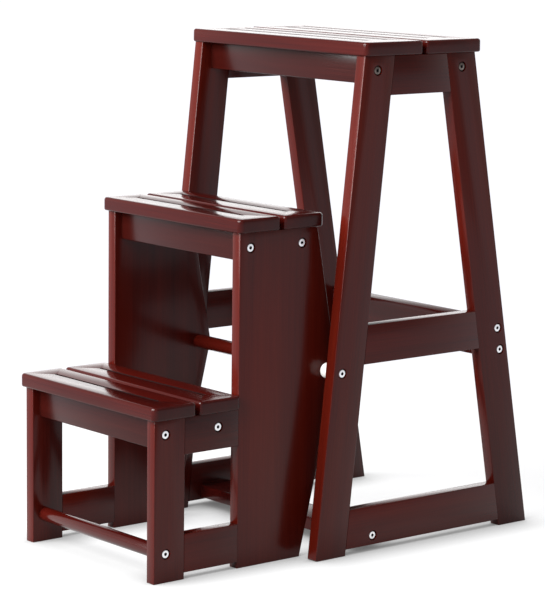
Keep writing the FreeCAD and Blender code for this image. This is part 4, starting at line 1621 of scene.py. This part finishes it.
# ---------------------------------------------------------------------------------------------------
# Studio
# ---------------------------------------------------------------------------------------------------
@dataclass
class Studio:
    """Pale floor, white surround, soft lights and the camera."""

    finishes: Finishes
    floor_half: float = 30.0
    azimuth: float = 50.495
    elevation: float = 9.077
    roll: float = 0.701
    distance: float = 3.7
    lens: float = 157.69
    target: tuple = (-0.24545, 0.19998, 0.24999)
    key_place: tuple = (-0.6, -4.1, 3.0)
    key_size: Point = (4.4, 4.4)
    key_power: float = 1180.0
    fill_place: tuple = (2.6, -1.6, 1.6)
    fill_size: Point = (1.6, 1.6)
    fill_power: float = 6.0
    lamp_aim: tuple = (0.0, 0.0, 0.3)
    sky_base: float = 0.36
    sky_behind: float = 1.6
    sky_seen: float = 1.05
    behind_slope: Point = (-0.76, 0.63)
    behind_start: float = 0.25
    sky_fall: float = 1.4

    def build(self) -> None:
        """Set the whole studio up."""
        self.floor()
        self.surround()
        self.lamp("key_light", self.key_place, self.key_size, self.key_power)
        self.lamp("fill_light", self.fill_place, self.fill_size, self.fill_power)
        self.camera()

    def floor(self) -> None:
        """Wide flat floor, with its rim turned down so that it has no raw edge in view."""
        half = self.floor_half
        bpy.ops.object.select_all(action="DESELECT")
        bpy.ops.mesh.primitive_plane_add(size=half * 2, location=(0.0, 0.0, 0.0))
        floor = bpy.context.active_object
        floor.name = "studio_floor"
        with Editing(floor) as editing:
            editing.pick(Part.FACE, lambda face: True)
            bpy.ops.mesh.inset(thickness=half / 6)
            editing.pick(Part.VERT, lambda vert: max(abs(vert.co.x), abs(vert.co.y)) > half * 0.9)
            editing.shift((0.0, 0.0, -half / 60))
        settle(floor)
        floor.data.materials.append(self.finishes.floor)

    def surround(self) -> None:
        """White surround: plain white where it is seen, and graded for what it lights."""
        world = bpy.data.worlds.new("studio_surround")
        bpy.context.scene.world = world
        graph = Graph(world)
        place = graph.add("ShaderNodeTexCoord", {}, {})
        parts = graph.add("ShaderNodeSeparateXYZ", {}, {0: place.outputs["Generated"]})
        across, deep, high = (graph.value(parts, index) for index in range(3))
        slope_x, slope_y = self.behind_slope
        behind = (across * slope_x + deep * slope_y + self.behind_start).at_least(0.0)
        low_sky = (1.0 - high * self.sky_fall).at_least(0.0)
        strength = self.sky_base + behind * low_sky * self.sky_behind
        seen = graph.value(graph.add("ShaderNodeLightPath", {}, {}), "Is Camera Ray")
        level = seen * self.sky_seen + (1.0 - seen) * strength
        graph.surface(graph.add("ShaderNodeBackground", {}, {
            "Color": (1.0, 1.0, 1.0, 1.0), "Strength": level}))

    def lamp(self, name: str, place: tuple, size: Point, power: float) -> None:
        """Soft box aimed at the middle of the ladder.

        Args:
            name: Name of the light.
            place: Where it hangs.
            size: Width and height of its face.
            power: Power in watts.
        """
        light = bpy.data.lights.new(name, "AREA")
        light.shape = "RECTANGLE"
        light.size, light.size_y = size
        light.energy = power
        lamp = bpy.data.objects.new(name, light)
        bpy.context.scene.collection.objects.link(lamp)
        lamp.location = place
        aim = Vector(self.lamp_aim) - Vector(place)
        lamp.rotation_euler = aim.to_track_quat("-Z", "Y").to_euler()

    def camera(self) -> None:
        """Long lens at the viewing angle, aimed so that the ladder fills the frame."""
        azimuth, elevation, roll = (math.radians(angle) for angle in (
            self.azimuth, self.elevation, self.roll))
        back = Vector((math.sin(azimuth) * math.cos(elevation),
                       -math.cos(azimuth) * math.cos(elevation), math.sin(elevation)))
        level = (-back).cross(Vector((0.0, 0.0, 1.0))).normalized()
        up = level.cross(-back)
        right = level * math.cos(roll) + up * math.sin(roll)
        top = up * math.cos(roll) - level * math.sin(roll)
        data = bpy.data.cameras.new("studio_camera")
        data.lens = self.lens
        data.clip_end = 200.0
        camera = bpy.data.objects.new("studio_camera", data)
        bpy.context.scene.collection.objects.link(camera)
        turn = Matrix((right, top, back)).transposed().to_4x4()
        camera.matrix_world = Matrix.Translation(Vector(self.target) + back * self.distance) @ turn
        bpy.context.scene.camera = camera
        bpy.context.scene.view_settings.view_transform = "Standard"


def main() -> None:
    """Build the ladder's pieces in order, then the studio round them."""
    logging.basicConfig(level=logging.INFO, format="%(name)s %(message)s")
    finishes = Finishes()
    for side in Side:
        SideFrame(side, finishes).build()
        StepPanel(side, finishes).build()
    for word, grooves, body in (("seat", 2, STOOL), ("middle", 1, STEPS), ("lower", 1, STEPS)):
        for which in ("front", "rear"):
            TreadBoard(f"{word}_{which}_board", grooves, body, finishes).build()
    for apron in APRON_PLACES:
        Apron(apron.name, apron.body, finishes, bolt_high=apron.bolt_high).build()
    RearCrossRail("rear_cross_rail", STOOL, finishes, glossy=True).build()
    FloorBoard("floor_cross_board", STOOL, finishes, glossy=True).build()
    RoundRod("front_rod", PLAN.front_rod, finishes, end_bore=9 * MM, bore_deep=32.5 * MM).build()
    RoundRod("pivot_rod", PLAN.hinge, finishes, end_bore=11 * MM, bore_deep=21.75 * MM).build()
    Hardware(finishes).build()
    KeptNodes(finishes).dress()
    Studio(finishes).build()


if __name__ == "__main__":
    main()
